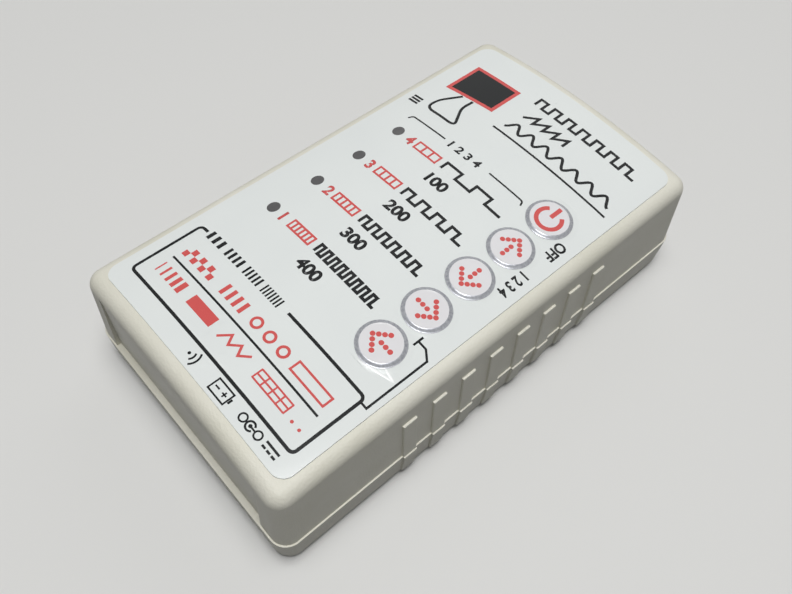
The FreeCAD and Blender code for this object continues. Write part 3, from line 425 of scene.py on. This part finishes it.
# dotted: a filled oval on every point of the piece.
dotted, enter, leave = new_tree("dotted", [
    ("Width", "Float"), ("Length", "Float"), ("Sides", "Int")])
disc = add_node(dotted, "GeometryNodeMeshCircle", [
    ("Vertices", enter.outputs["Sides"]), ("Radius", 0.5)], fill_type="NGON")
size = add_node(dotted, "ShaderNodeCombineXYZ", [
    ("X", enter.outputs["Width"]), ("Y", enter.outputs["Length"]), ("Z", 1.0)])
oval = add_node(dotted, "GeometryNodeTransform", [("Geometry", disc), ("Scale", size)])
points = add_node(dotted, "GeometryNodeMeshToPoints", [("Mesh", enter.outputs["Geometry"])])
placed = add_node(dotted, "GeometryNodeInstanceOnPoints", [("Points", points), ("Instance", oval)])
real = add_node(dotted, "GeometryNodeRealizeInstances", [("Geometry", placed)])
dotted.links.new(real.outputs["Geometry"], leave.inputs["Geometry"])


def spot(x, y, middle=film_middle):
    """A place on the film, from millimetres about its middle."""
    return Vector((middle.x + x * mm, middle.y + y * mm, 0))


def add_area(work, corners):
    work.faces.new([work.verts.new(spot(x, y)) for x, y in corners])


def add_line(work, corners, width=line, middle=film_middle):
    """A line of even width along a path, mitred at its corners."""
    path = [Vector(corner) for corner in corners]
    path = [point for index, point in enumerate(path)
            if not index or (point - path[index - 1]).length > 1e-4]
    closed = (path[0] - path[-1]).length < 1e-4
    if closed:
        path = path[:-1]
    rows = []
    for index, point in enumerate(path):
        before = path[index - 1] if index or closed else None
        after = path[(index + 1) % len(path)] if index < len(path) - 1 or closed else None
        coming = (point - before).normalized() if before else (after - point).normalized()
        going = (after - point).normalized() if after else coming
        side = (coming + going).normalized().orthogonal()
        reach = width / 2 / max(side.dot(going.orthogonal()), 0.35)     # no spike at a sharp corner
        rows.append([work.verts.new(spot(*(point + side * reach * sign), middle))
                     for sign in (1, -1)])
    count = len(rows) if closed else len(rows) - 1
    for index in range(count):
        (left, right), (next_left, next_right) = rows[index], rows[(index + 1) % len(rows)]
        work.faces.new((left, right, next_right, next_left))


def add_lines(work, width, *paths):
    for path in paths:
        add_line(work, path, width)


def arc(x, y, radius, start, end, steps=24):
    """Points of an arc, its ends given in degrees."""
    turns = [math.radians(start + (end - start) * step / steps) for step in range(steps + 1)]
    return [(x + radius * math.cos(turn), y + radius * math.sin(turn)) for turn in turns]


def add_dot(work, x, y, radius=0.3):
    add_area(work, arc(x, y, radius, 0, 345, 11))


def box_corners(left, right, front, rear, closed=False):
    corners = [(left, front), (right, front), (right, rear), (left, rear)]
    return corners + corners[:1] if closed else corners


def softened(corners, rounds=3):
    """A path with its inner corners cut off again and again, until it reads as a curve."""
    path = [Vector(corner) for corner in corners]
    for _ in range(rounds):
        cut = [path[0]]
        for before, after in zip(path, path[1:]):
            cut += [before.lerp(after, 0.25), before.lerp(after, 0.75)]
        path = [*cut, path[-1]]
    return path


def add_characters(work, text, left, foot, height, turned=False, bold=0.03, stretch=1.0):
    """Plain characters, read from the front or, when turned, from the right-hand side."""
    data = bpy.data.curves.new("characters", "FONT")
    data.body = text
    data.offset = bold
    carrier = add_object("characters", data)
    solved = carrier.evaluated_get(bpy.context.evaluated_depsgraph_get())
    mesh = bpy.data.meshes.new_from_object(solved)
    bpy.data.objects.remove(carrier)
    start = min(vertex.co.x for vertex in mesh.vertices)
    scale = height / max(vertex.co.y for vertex in mesh.vertices)
    for vertex in mesh.vertices:
        along = (vertex.co.x - start) * scale * stretch
        across = vertex.co.y * scale
        if turned:
            along, across = across, -along
        vertex.co = spot(left + along, foot + across)
    work.from_mesh(mesh)
    bpy.data.meshes.remove(mesh)


def cut_in_strips(work):
    left = min(vertex.co.x for vertex in work.verts)
    right = max(vertex.co.x for vertex in work.verts)
    for step in range(math.ceil(left / strip), math.floor(right / strip) + 1):
        bmesh.ops.bisect_plane(work, geom=work.verts[:] + work.edges[:] + work.faces[:], dist=1e-7,
                               plane_co=(step * strip, 0, 0), plane_no=(1, 0, 0))


def print_drawing(work, name, material, body, rise=0.0, dots=None):
    """Prints a flat drawing on the film, or on a face that much higher.

    The points of a drawing become ovals, where dots gives the inputs of their tree.
    """
    bmesh.ops.remove_doubles(work, verts=work.verts, dist=weld_distance)
    for face in work.faces:
        if face.normal.z < 0:
            face.normal_flip()
    # the bold outline of a 3 crosses itself at its notch: the slivers there are taken out
    area = bmesh.types.BMFace.calc_area
    doubled = {min(edge.link_faces, key=area) for edge in work.edges
               if len(edge.link_faces) > 1 and not edge.is_contiguous}
    bmesh.ops.delete(work, geom=list(doubled), context="FACES")
    touching = [corner for corner in work.verts
                if sum(edge.is_boundary for edge in corner.link_edges) > 2]
    slivers = {face for corner in touching for face in sorted(corner.link_faces, key=area)[:-1]}
    bmesh.ops.delete(work, geom=list(slivers), context="FACES")
    cut_in_strips(work)
    piece = finished(work, name, material, body)
    if dots:
        run_tree(piece, dotted, dots)
    run_tree(piece, laid_on_film, {
        "Film Radius": film_radius, "Film Top": film_high.z, "Rise": rise + ink_thickness / 4,
        "Thickness": ink_thickness, "Material": material})


def pulse_points(left, right, foot, height, cycles):
    """A square wave along a row."""
    points = []
    step = (right - left) / cycles
    for cycle in range(cycles):
        start = left + cycle * step
        points += [(start, foot), (start, foot + height), (start + step / 2, foot + height),
                   (start + step / 2, foot)]
    return points + [(right, foot)]


def saw_points(left, right, foot, height, cycles):
    points = [(left, foot)]
    step = (right - left) / cycles
    for cycle in range(1, cycles + 1):
        points += [(left + cycle * step, foot + height), (left + cycle * step, foot)]
    return points


def sine_points(left, right, foot, height, cycles):
    steps = 16 * cycles
    return [(left + (right - left) * step / steps,
             foot + height / 2 * (1 - math.cos(2 * math.pi * cycles * step / steps)))
            for step in range(steps + 1)]


# Black: the title rows are three test waves (square, saw and sine) over a rule.
black = bmesh.new()
title_height = 2.1
add_lines(black, 0.6, pulse_points(-4.9, 20.5, 39.3, title_height, 7),
          saw_points(-3.9, 6.4, 34.8, title_height, 4),
          sine_points(-4.7, 21.7, 30.4, title_height, 7))
add_line(black, [(-6.0, 28.6), (22.7, 28.6)], 0.45)

# The display sign at the rear left: a black screen, its stand below, and the slotted socket sign.
screen_frame = [(-20.5, 30.6), (-9.4, 31.6), (-9.4, 39.3), (-20.5, 39.3), (-20.5, 30.6)]
add_area(black, [(-20.1, 31.05), (-9.8, 31.98), (-9.8, 38.9), (-20.1, 38.9)])
add_line(black, softened([(-16.2, 30.4), (-17.2, 28.7), (-18.9, 26.0), (-18.9, 22.9), (-15.2, 23.0),
                          (-11.0, 22.9), (-12.4, 25.3), (-13.8, 27.6), (-13.6, 30.6)]), 0.6)
for slat in range(3):
    y = 22.3 + 0.8 * slat
    add_line(black, [(-23.4, y), (-21.0, y)], 0.5)

# The four signal rows: a pulse train that quickens from row to row, and a plain number under it.
lamp_names = [f"lamp_{number}" for number in range(1, 5)]
lamp_centres = [box_middle(name) for name in lamp_names]
row_y = [(centre.y - film_middle.y) / mm for centre in lamp_centres]
row_half = 0.95                     # half the height of a row's signs
for index, y in enumerate(row_y):
    add_line(black, pulse_points(-4.5, 11.0, y - row_half, 1.95, 8 - 2 * index), 0.6)
    add_characters(black, f"{100 * (4 - index)}", -4.6, y - 5.2, 2.4, bold=0.04, stretch=1.1)

# The bracket round the rows carries the plain numbers of the rows.
bracket = 19.05
add_line(black, [*softened([(-18.96, 18.0), (-18.5, bracket), (-17.6, bracket)]), (-9.5, bracket)],
         0.35)
add_characters(black, "1 2 3 4", -8.0, 18.1, 1.8, stretch=1.2)
add_line(black, [(2.4, bracket), *softened([(9.8, bracket), (11.0, bracket), (11.4, 18.0)])], 0.35)

# The lower box: bursts of ever finer bars are its header, and a line divides its two rows.
box_rear, box_side, corner_radius, corner_rear, corner_front = -28.05, 21.4, 0.9, -28.95, -41.3
add_line(black, [
    (-20.3, box_rear), *arc(-box_side, corner_rear, corner_radius, 90, 180, 5),
    *arc(-box_side, corner_front, corner_radius, 180, 270, 5),
    *arc(box_side, corner_front, corner_radius, 270, 360, 5),
    *arc(box_side, corner_rear, corner_radius, 0, 90, 5), (3.0, box_rear)])
for start, bars, pitch in ((-19.6, 3, 1.6), (-14.2, 4, 1.2), (-8.8, 5, 0.9), (-3.7, 7, 0.7)):
    for bar in range(bars):
        left = start + pitch * bar
        add_area(black, box_corners(left, left + pitch / 2, -29.0, -27.1))
add_lines(black, 0.4, [(-19.6, -35.6), (20.1, -35.6)],
          [(22.2, -29.0), (23.7, -29.0), (23.7, -16.3), (22.0, -15.0), (20.2, -15.0)],
          [(20.2, -16.1), (20.2, -13.9)])

# Signs along the front edge: sound, battery, supply polarity and direct current.
signs = -44.3
battery_signs = -44.35
add_dot(black, -1.1, signs)
for ring in range(2):
    add_line(black, arc(-1.1, signs, 1.1 + 0.9 * ring, -42, 42, 10), 0.35)
add_line(black, box_corners(5.7, 9.5, -45.5, -43.2, closed=True), 0.3)
add_area(black, box_corners(9.7, 10.1, -44.8, -43.9))
add_lines(black, 0.28, [(6.2, battery_signs), (7.2, battery_signs)],
          [(7.9, battery_signs), (8.9, battery_signs)], [(8.4, -43.85), (8.4, -44.85)])
add_lines(black, 0.3, arc(13.2, signs, 0.7, 0, 360, 16), arc(16.9, signs, 0.7, 0, 360, 16),
          [(13.9, signs), (14.2, signs)], [(15.3, signs), (16.2, signs)])
add_line(black, arc(15.0, signs, 0.8, 30, 330, 16), 0.35)
add_dot(black, 15.0, signs, 0.33)
dashes = [[(18.4 + 1.1 * dash, -44.7), (19.2 + 1.1 * dash, -44.7)] for dash in range(3)]
add_lines(black, 0.4, [(18.4, -43.8), (21.4, -43.8)], *dashes)

# OFF beside the power key, and the numbers of the rows beside the keys that step through them.
add_characters(black, "OFF", 21.25, 18.0, 2.1, turned=True, stretch=0.88)
add_characters(black, "1 2 3 4", 21.25, 8.0, 2.1, turned=True, stretch=0.78)
print_drawing(black, "black_legends", black_ink, "case")

# Red: the frame of the screen, and the row numbers with a raster each.
red = bmesh.new()
add_line(red, screen_frame, 0.8)
raster_left, raster_right = -12.0, -6.2
for index, y in enumerate(row_y):
    add_characters(red, f"{index + 1}", -14.6, y - 1.15, 2.3, bold=0.035)
    front, rear = y - row_half, y + row_half
    add_line(red, box_corners(raster_left, raster_right, front, rear, closed=True), 0.42)
    bars = 5 - index
    for bar in range(1, bars + 1):
        x = raster_left + (raster_right - raster_left) * bar / (bars + 1)
        add_line(red, [(x, front), (x, rear)], 0.45)

# The upper row of test pictures: a chequer, bars, the three colours as rings, and a frame.
row, tall_half, low_half = -33.0, 1.2, 1.0
for column in range(7):
    foot = row - tall_half + (tall_half if column % 2 else 0.0)
    left = -19.3 + 1.2 * column
    add_area(red, box_corners(left, left + 1.18, foot, foot + tall_half))
for bar in range(4):
    left = -8.0 + 1.7 * bar
    add_area(red, box_corners(left, left + 0.8, row - tall_half, row + tall_half))
add_lines(red, 0.5, *[arc(x, row, 0.95, 0, 360, 20) for x in (1.2, 4.7, 8.2)])
add_line(red, box_corners(11.2, 19.3, row - low_half, row + low_half, closed=True), 0.4)

# The lower row: greys as bars that close up, a block, a flash, a grid and two dots.
row, grid_half = -38.3, 1.1
grid_left, grid_right = 8.6, 16.4
for step in range(5):
    left = -19.3 + 1.5 * step
    add_area(red, box_corners(left, left + 0.3 + 0.2 * step, row - tall_half, row + tall_half))
add_area(red, box_corners(-9.8, -3.2, row - grid_half, row + grid_half))
add_line(red, [(-1.0, row - 1.0), (0.6, row + 1.0), (1.6, row - 0.6), (3.2, row + 1.0),
               (4.2, row - 0.6), (5.8, row + 1.0)], 0.45)
columns = [grid_left + 1.95 * step for step in range(5)]
rows = [row - 1.0 + step for step in range(3)]
add_lines(red, 0.32, *[[(x, row - grid_half), (x, row + grid_half)] for x in columns],
          *[[(grid_left, y), (grid_right, y)] for y in rows])
for x in (18.3, 20.05):
    add_dot(red, x, -39.1)
print_drawing(red, "red_legends", red_ink, "case")

# Key signs: dotted arrows on four keys, and the ring and bar of the power sign on the fifth.
arrow_dots = [(-2.15, 0.0), *[(-2.15 + 0.72 * step, side * 0.7 * step) for side in (-1, 1)
                              for step in (1, 2, 3)], (0.0, 0.0), (1.07, 0.0), (2.14, 0.0)]
for name, centre, turn in zip(key_names, key_centres, (0, 180, 90, -90)):
    spin = Matrix.Rotation(math.radians(turn), 2)
    work = bmesh.new()
    for dot in arrow_dots:
        work.verts.new(spot(*(spin @ Vector(dot)), centre))
    print_drawing(work, f"{name}_arrow", red_ink, f"{name}_press", face_rise,
                  {"Width": 0.95 * mm, "Length": 0.95 * mm, "Sides": 20})

power_sign = bmesh.new()
for path in (arc(0, -0.15, 2.35, 130, 410, 40), [(0, 0.3), (0, 3.15)]):
    add_line(power_sign, path, 0.85, key_centres[4])
print_drawing(power_sign, "key_5_power_sign", red_ink, "key_5_press", face_rise)


# ---- Lamp windows --------------------------------------------------------------------------------
# Over each lamp the white ground is left open and a smoked tint is printed instead, so that the
# window of an unlit lamp looks dark grey. Each is an oval.
smoked_window, tree, place = new_material("smoked_polyester_window")
finish(tree, place, {"Roughness": 0.4, "IOR": 1.5, "Coat Weight": 0.6, "Coat Roughness": 0.1,
                     "Coat IOR": 1.58}, tint=((1.2 * mm, 2.0), "363638", "4C4B4C"))
work = bmesh.new()
for centre in lamp_centres:
    work.verts.new((centre.x, centre.y, 0))
print_drawing(work, "lamp_windows", smoked_window, "case",
              dots={"Width": 2.3 * mm, "Length": 2.6 * mm, "Sides": 40})


# ---- Lamps ---------------------------------------------------------------------------------------
# Four 3 mm lamps stand on the board under the windows. Each is a cast epoxy lens with a flange.
# Diffused epoxy: red, cloudy, IOR 1.55, and glossy as it left the mould.
diffused_epoxy, tree, place = new_material("diffused_red_epoxy")
finish(tree, place, {"Roughness": 0.18, "IOR": 1.55, "Transmission Weight": 0.25},
       tint=((0.8 * mm, 3.0), "A8201C", "C4332B"))
dress(diffused_epoxy, "lamp_lens", *lamp_names)


# ---- Switches ------------------------------------------------------------------------------------
# A 6 mm tactile switch stands under each key: a black base with a tinned steel cover over it, held
# at its corners, and a round black plunger that the key's nub touches.
switch_names = [f"switch_{number}" for number in range(1, 6)]
stem_names = [f"switch_stem_{number}" for number in range(1, 6)]
cover_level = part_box(switch_names[0])[0].z + 2.4 * mm


def past(tree, place, axis, level):
    """1 where a point lies past a level on an axis."""
    split = add_node(tree, "ShaderNodeSeparateXYZ", [("Vector", place)])
    return add_node(tree, "ShaderNodeMath", [(0, split.outputs[axis]), (1, level)],
                    operation="GREATER_THAN")


def part(tree, where, plain, other):
    """Shows one shader, and another one where a value is 1."""
    show(tree, add_node(tree, "ShaderNodeMixShader", [("Fac", where), (1, plain), (2, other)]))


# Tinned steel: metal, rolled sheet with a grain about 0.1 mm wide. Below the cover's edge the same
# surface turns to black PBT.
switch_shell, tree, place = new_material("tinned_cover_on_black_pbt")
rolled = (0.1 * mm, 2.0, {"stretch": (1.0, 0.1, 1.0)})
steel = finish(tree, place, {"Metallic": 1.0}, "C3C4C4", roughness=(rolled, 0.22, 0.42))
pbt = finish(tree, place, {"Roughness": 0.55, "IOR": 1.56}, "1D1D1F")
part(tree, past(tree, place, "Z", cover_level), pbt, steel)
dress(switch_shell, "switch_body", *switch_names)

# The plunger is moulded black nylon, matt from the tool and worn a little smoother in spots.
black_nylon, tree, place = new_material("moulded_black_nylon")
finish(tree, place, {"IOR": 1.53}, "232325", roughness=((0.2 * mm, 3.0), 0.4, 0.62))
dress(black_nylon, "switch_stem", *stem_names)
dress(black_nylon, "socket_plastic", "power_socket")


# ---- Circuit board -------------------------------------------------------------------------------
# One board of glass laminate, 1.6 mm thick, hangs on four screws under the top. Both faces carry
# green solder mask over copper tracks, and the cut edges show the bare yellow laminate.
solder_mask, tree, place = new_material("solder_mask_on_glass_laminate")
tracks = add_node(tree, "ShaderNodeTexBrick", [
    ("Vector", place), ("Scale", 1 / (6 * mm)), ("Mortar Size", 0.035), ("Mortar Smooth", 0.3),
    ("Color1", colour("17512F")), ("Color2", colour("1A5733")), ("Mortar", colour("2E7A48"))],
    offset=0.37, squash=1.6, squash_frequency=3)
raised = add_node(tree, "ShaderNodeBump", [
    ("Height", tracks.outputs["Fac"]), ("Strength", 0.6), ("Distance", 0.035 * mm)])
mask = finish(tree, place, {"Base Color": tracks, "Roughness": 0.3, "IOR": 1.55, "Normal": raised})
edge = finish(tree, place, {"Roughness": 0.8, "IOR": 1.55},
              tint=((0.3 * mm, 2.0), "A8985A", "C6B878"))
normal = add_node(tree, "ShaderNodeTexCoord").outputs["Normal"]
flatness = add_node(tree, "ShaderNodeVectorMath", [(0, normal)], operation="ABSOLUTE")
part(tree, past(tree, flatness, "Z", 0.5), edge, mask)
dress(solder_mask, "board_laminate", "circuit_board")


# ---- Parts on the board --------------------------------------------------------------------------
# The processor, the regulator and the chip resistors are soldered down; their bodies are moulded or
# fired black, and their legs and end caps are tinned. The crystal's can is drawn nickel silver.
chip_middle = box_middle("microcontroller")
chip_reach = 5.02 * mm              # half of the moulded body, with a margin that keeps it black
regulator_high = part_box("voltage_regulator")[1]
leg_length = 3.0 * mm
resistor_low, resistor_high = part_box("output_resistors")
cap_length = 0.5 * mm


def black_body_with_tinned_ends(name, edge_test):
    """Moulded epoxy, IOR 1.55, with a mould grain of 0.1 mm; bright tin where the test says so."""
    material, tree, place = new_material(name)
    epoxy = finish(tree, place, {"Roughness": 0.55, "IOR": 1.55}, "1A1A1C",
                   relief=((0.1 * mm, 2.0), 0.3, 0.01 * mm))
    tin = finish(tree, place, {"Metallic": 1.0, "Roughness": 0.3}, "C8C8C6")
    part(tree, edge_test(tree, place), epoxy, tin)
    return material


def beyond(tree, place, axis, middle, reach):
    """1 where a point lies further than a reach from a middle, either way along an axis."""
    offset = add_node(tree, "ShaderNodeVectorMath", [(0, place), (1, middle)], operation="SUBTRACT")
    away = add_node(tree, "ShaderNodeVectorMath", [(0, offset)], operation="ABSOLUTE")
    return past(tree, away, axis, reach)


for name, finish_name, edge_test in (
        ("microcontroller", "moulded_epoxy_quad_pack",
         lambda tree, place: add_node(tree, "ShaderNodeMath", [
             (0, beyond(tree, place, "X", chip_middle, chip_reach)),
             (1, beyond(tree, place, "Y", chip_middle, chip_reach))], operation="MAXIMUM")),
        ("voltage_regulator", "moulded_epoxy_regulator",
         lambda tree, place: past(tree, place, "Z", regulator_high.z - leg_length)),
        ("output_resistors", "fired_thick_film_chip",
         lambda tree, place: beyond(tree, place, "Y", box_middle("output_resistors"),
                                    (resistor_high.y - resistor_low.y) / 2 - cap_length))):
    dress(black_body_with_tinned_ends(finish_name, edge_test), "component_black", name)

# Drawn nickel silver: metal, with fine draw lines along its length.
drawn_can, tree, place = new_material("drawn_nickel_silver")
draw_lines = (0.08 * mm, 2.0, {"stretch": (1.0, 0.05, 1.0)})
finish(tree, place, {"Metallic": 1.0}, "C9C6BC", roughness=(draw_lines, 0.2, 0.4))
dress(drawn_can, "can_metal", "crystal")

# Aluminium cans in black sleeves, with bare ends and a pale stripe for the negative lead.
can_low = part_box("filter_capacitors")[0]
sleeved_can, tree, place = new_material("aluminium_can_in_pvc_sleeve")
print_colour = add_node(tree, "ShaderNodeMixRGB", [
    ("Fac", past(tree, place, "Y", can_low.y + 0.5 * mm)), ("Color1", colour("B9BBBC")),
    ("Color2", colour("1E2226"))])
sleeve = finish(tree, place, {"Base Color": print_colour, "Roughness": 0.35, "IOR": 1.53})
aluminium = finish(tree, place, {"Metallic": 1.0, "Roughness": 0.35}, "CBCBCB")
part(tree, past(tree, place, "Z", can_low.z + 0.4 * mm), aluminium, sleeve)
dress(sleeved_can, "capacitor_sleeve", "filter_capacitors")

# The sounder is a piezo element in a black moulded cup with a hole in its lid.
sounder_cup, tree, place = new_material("moulded_sounder_cup")
finish(tree, place, {"Roughness": 0.5, "IOR": 1.55}, "202022",
       relief=((0.3 * mm, 3.0), 0.4, 0.02 * mm))
dress(sounder_cup, "component_black", "sounder")


# ---- Screws --------------------------------------------------------------------------------------
# Four self-tapping screws come up through the back into the top's posts, and four small ones hold
# the board. Both are rolled, zinc-plated steel; the thread is drawn as rings, 0.9 mm apart.
screw_pitch = 0.9 * mm


def ring_scale(pitch):
    """The Scale at which a wave texture repeats once a pitch."""
    return 2 * math.pi / (20 * pitch)


zinc_steel, tree, place = new_material("zinc_plated_steel")
thread = add_node(tree, "ShaderNodeTexWave", [
    ("Vector", place), ("Scale", ring_scale(screw_pitch))], bands_direction="Z")
bump = add_node(tree, "ShaderNodeBump", [
    ("Height", thread.outputs["Fac"]), ("Strength", 0.5), ("Distance", 0.05 * mm)])
finish(tree, place, {"Metallic": 1.0, "Roughness": 0.32, "Normal": bump},
       tint=((0.6 * mm, 4.0), "B4B6B8", "CFCFCB"))
dress(zinc_steel, "screw_steel", "case_screws", "board_screws")


# ---- Battery -------------------------------------------------------------------------------------
# A 9 V block battery lies in the back behind a sliding door: a rolled steel jacket, lacquered dark
# with one copper band and no lettering, and two nickel-plated snap terminals on its end.
band_length = 13 * mm
lacquered_jacket, tree, place = new_material("lacquered_steel_jacket")
paint = add_node(tree, "ShaderNodeMixRGB", [
    ("Fac", past(tree, place, "Y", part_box("battery")[1].y - band_length)),
    ("Color1", colour("23262B")), ("Color2", colour("B0733F"))])
finish(tree, place, {"Base Color": paint, "Metallic": 0.6, "Coat Weight": 0.5,
                     "Coat Roughness": 0.12}, roughness=((1.5 * mm, 6.0), 0.22, 0.4))
dress(lacquered_jacket, "battery_jacket", "battery")

# Nickel plate: warm white metal, fairly smooth, with faint stains some 2 mm across.
nickel_plate, tree, place = new_material("nickel_plated_steel")
stains = (2 * mm, 4.0)
finish(tree, place, {"Metallic": 1.0}, tint=(stains, "C8C6C0", "DCDAD5"),
       roughness=(stains, 0.18, 0.34))
dress(nickel_plate, "terminal_metal", "battery_terminals")

# The snap connector is a fibre strip under a moulded black vinyl cover, with two insulated leads
# that rise to the board. Vinyl is soft and slightly satin; the extruded leads are smoother.
for name, slot, finish_name, code, roughness in (
        ("battery_snap", "snap_vinyl", "moulded_black_vinyl", "1C1C1D", 0.5),
        ("battery_lead_black", "lead_black", "extruded_black_vinyl", "1A1A1B", 0.38),
        ("battery_lead_red", "lead_red", "extruded_red_vinyl", "B4221D", 0.38)):
    vinyl, tree, place = new_material(finish_name)
    finish(tree, place, {"Roughness": roughness, "IOR": 1.53, "Sheen Weight": 0.05}, code,
           relief=((0.4 * mm, 3.0), 0.35, 0.03 * mm))
    dress(vinyl, slot, name)


# ---- Sockets -------------------------------------------------------------------------------------
# The rear panel holds a 15-pin D video socket, in a pressed nickel-plated shell with two hexagonal
# jack screws, and a barrel power socket of black nylon. Pins and tabs are tinned or gold plated.
dress(nickel_plate, "connector_steel", "video_socket_shell")

# The jack screws have a 4-40 thread inside, drawn as rings at its pitch on the bore alone.
thread_pitch = 0.635 * mm
bore_radius = 1.5 * mm              # just outside the thread's own 1.42
post_spacing = 25 * mm
threaded_nickel, tree, place = new_material("nickel_plated_jack_screw")
from_middle = add_node(tree, "ShaderNodeVectorMath", [
    (0, place), (1, box_middle("video_jack_screws"))], operation="SUBTRACT")
split = add_node(tree, "ShaderNodeSeparateXYZ", [("Vector", from_middle)])
aside = add_node(tree, "ShaderNodeMath", [(0, split.outputs["X"])], operation="ABSOLUTE")
from_axis = add_node(tree, "ShaderNodeMath", [(0, aside), (1, post_spacing / 2)],
                     operation="SUBTRACT")
across = add_node(tree, "ShaderNodeCombineXYZ", [("X", from_axis), ("Z", split.outputs["Z"])])
radius = add_node(tree, "ShaderNodeVectorMath", [(0, across)], operation="LENGTH")
in_bore = add_node(tree, "ShaderNodeMath", [(0, radius.outputs["Value"]), (1, bore_radius)],
                   operation="LESS_THAN")
rings = add_node(tree, "ShaderNodeTexWave", [
    ("Vector", place), ("Scale", ring_scale(thread_pitch))], bands_direction="Y")
thread = add_node(tree, "ShaderNodeMath", [(0, rings.outputs["Fac"]), (1, in_bore)],
                  operation="MULTIPLY")
bump = add_node(tree, "ShaderNodeBump", [
    ("Height", thread), ("Strength", 0.8), ("Distance", 0.2 * mm)])
finish(tree, place, {"Metallic": 1.0, "Roughness": 0.28, "Normal": bump}, "D0CECA")
dress(threaded_nickel, "jack_screw_steel", "video_jack_screws")

# The block between the contacts is glass-filled polyester, blue, with short fibre streaks.
blue_polyester, tree, place = new_material("glass_filled_blue_polyester")
finish(tree, place, {"Roughness": 0.48, "IOR": 1.57},
       tint=((0.3 * mm, 4.0, {"Distortion": 1.0}), "1C3A86", "27489A"))
dress(blue_polyester, "connector_plastic", "video_socket_insulator")

# Contacts: gold over nickel in the video socket, tinned brass in the power socket.
for finish_name, code, low, high, names in (
        ("gold_plated_contact", "D8B25C", 0.18, 0.32, ["video_socket_contacts"]),
        ("tinned_brass", "C6C6C3", 0.23, 0.37, ["power_socket_pin", "power_socket_tabs"])):
    plate, tree, place = new_material(finish_name)
    finish(tree, place, {"Metallic": 1.0}, code, roughness=((0.5 * mm, 3.0), low, high))
    dress(plate, "contact_metal", *names)


# ---- Floor, light and camera ---------------------------------------------------------------------
# A pale matt floor that runs into an even pale distance, a soft box overhead, a weak one low behind
# for the sheen on the film, and a dim world. The floor throws back little light, so the sides of
# the case keep their shade.
distance_shade = 0.66               # brightness of the far floor and of the world behind it
world_shade = 0.12                  # brightness of the world as a light
floor_half = 2.0
fade_from, fade_to = 0.09, 0.32     # where the floor begins and ends its fade into the distance
floor_mesh = bpy.data.meshes.new("floor")
floor_mesh.from_pydata([(x * floor_half, y * floor_half, 0)
                        for x, y in ((-1, -1), (1, -1), (1, 1), (-1, 1))], [], [(0, 1, 2, 3)])
add_object("floor", floor_mesh)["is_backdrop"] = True


def seen_ray(tree):
    """1 for a ray from the camera, or one mirrored or let through on its way."""
    ray = add_node(tree, "ShaderNodeLightPath")
    seen = add_node(tree, "ShaderNodeMath", [
        (0, ray.outputs["Is Camera Ray"]), (1, ray.outputs["Is Glossy Ray"])], operation="MAXIMUM")
    return add_node(tree, "ShaderNodeMath", [
        (0, seen), (1, ray.outputs["Is Transmission Ray"])], operation="MAXIMUM")


matt_floor, tree, place = new_material("matt_floor")
pale = finish(tree, place, {"Roughness": 0.9}, "DCDCDA")
dim = finish(tree, place, {"Roughness": 0.9}, "46474B")
away = add_node(tree, "ShaderNodeVectorMath", [(0, place)], operation="LENGTH")
far = add_node(tree, "ShaderNodeMapRange", [
    ("Value", away.outputs["Value"]), ("From Min", fade_from), ("From Max", fade_to)],
    interpolation_type="SMOOTHSTEP")
distant = add_node(tree, "ShaderNodeEmission", [
    ("Color", colour("FFFFFD")), ("Strength", distance_shade)])
fading = add_node(tree, "ShaderNodeMixShader", [("Fac", far), (1, pale), (2, distant)])
part(tree, seen_ray(tree), dim, fading)
floor_mesh.materials.append(matt_floor)


def direction_to(azimuth, elevation):
    """The direction from the object, in degrees round to the right from its front, and up."""
    turn, tilt = math.radians(azimuth), math.radians(elevation)
    flat = math.cos(tilt)
    return Vector((flat * math.sin(turn), -flat * math.cos(turn), math.sin(tilt)))


def soft_box(name, azimuth, elevation, distance, side, power):
    """A square area lamp that faces the object from a direction; azimuth 0 is in front of it."""
    data = bpy.data.lights.new(name, "AREA")
    data.size = side
    data.energy = power
    lamp = add_object(name, data)
    lamp.location = distance * direction_to(azimuth, elevation)
    lamp.rotation_euler = (-lamp.location).to_track_quat("-Z", "Y").to_euler()


soft_box("soft_box_over", 55, 83, 0.80, 0.34, 5.1)
soft_box("soft_box_behind", 210, 42, 0.90, 0.60, 0.55)

world = bpy.data.worlds.new("studio")
world.use_nodes = True
tree = world.node_tree
tree.nodes.clear()
strength = add_node(tree, "ShaderNodeMapRange", [
    ("Value", seen_ray(tree)), ("To Min", world_shade), ("To Max", distance_shade)])
sky = add_node(tree, "ShaderNodeBackground", [("Color", colour("FFFFFD")), ("Strength", strength)])
add_node(tree, "ShaderNodeOutputWorld", [("Surface", sky)])
bpy.context.scene.world = world

# The camera is about 133 mm from the front keys, 46 degrees round to the right and 56 degrees up.
camera_aim = Vector((11.81, -14.4, 26.3)) * mm
camera_distance = 132.8 * mm
camera_roll = math.radians(3.21)
camera_data = bpy.data.cameras.new("camera")
camera_data.lens = 36.354
camera_data.clip_start = 0.01
camera = add_object("camera", camera_data)
direction = direction_to(45.82, 55.88)
camera.matrix_world = (Matrix.Translation(camera_aim + camera_distance * direction)
                       @ direction.to_track_quat("Z", "Y").to_matrix().to_4x4()
                       @ Matrix.Rotation(camera_roll, 4, "Z"))
bpy.context.scene.camera = camera
bpy.context.scene.view_settings.view_transform = "Standard"

low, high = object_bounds()
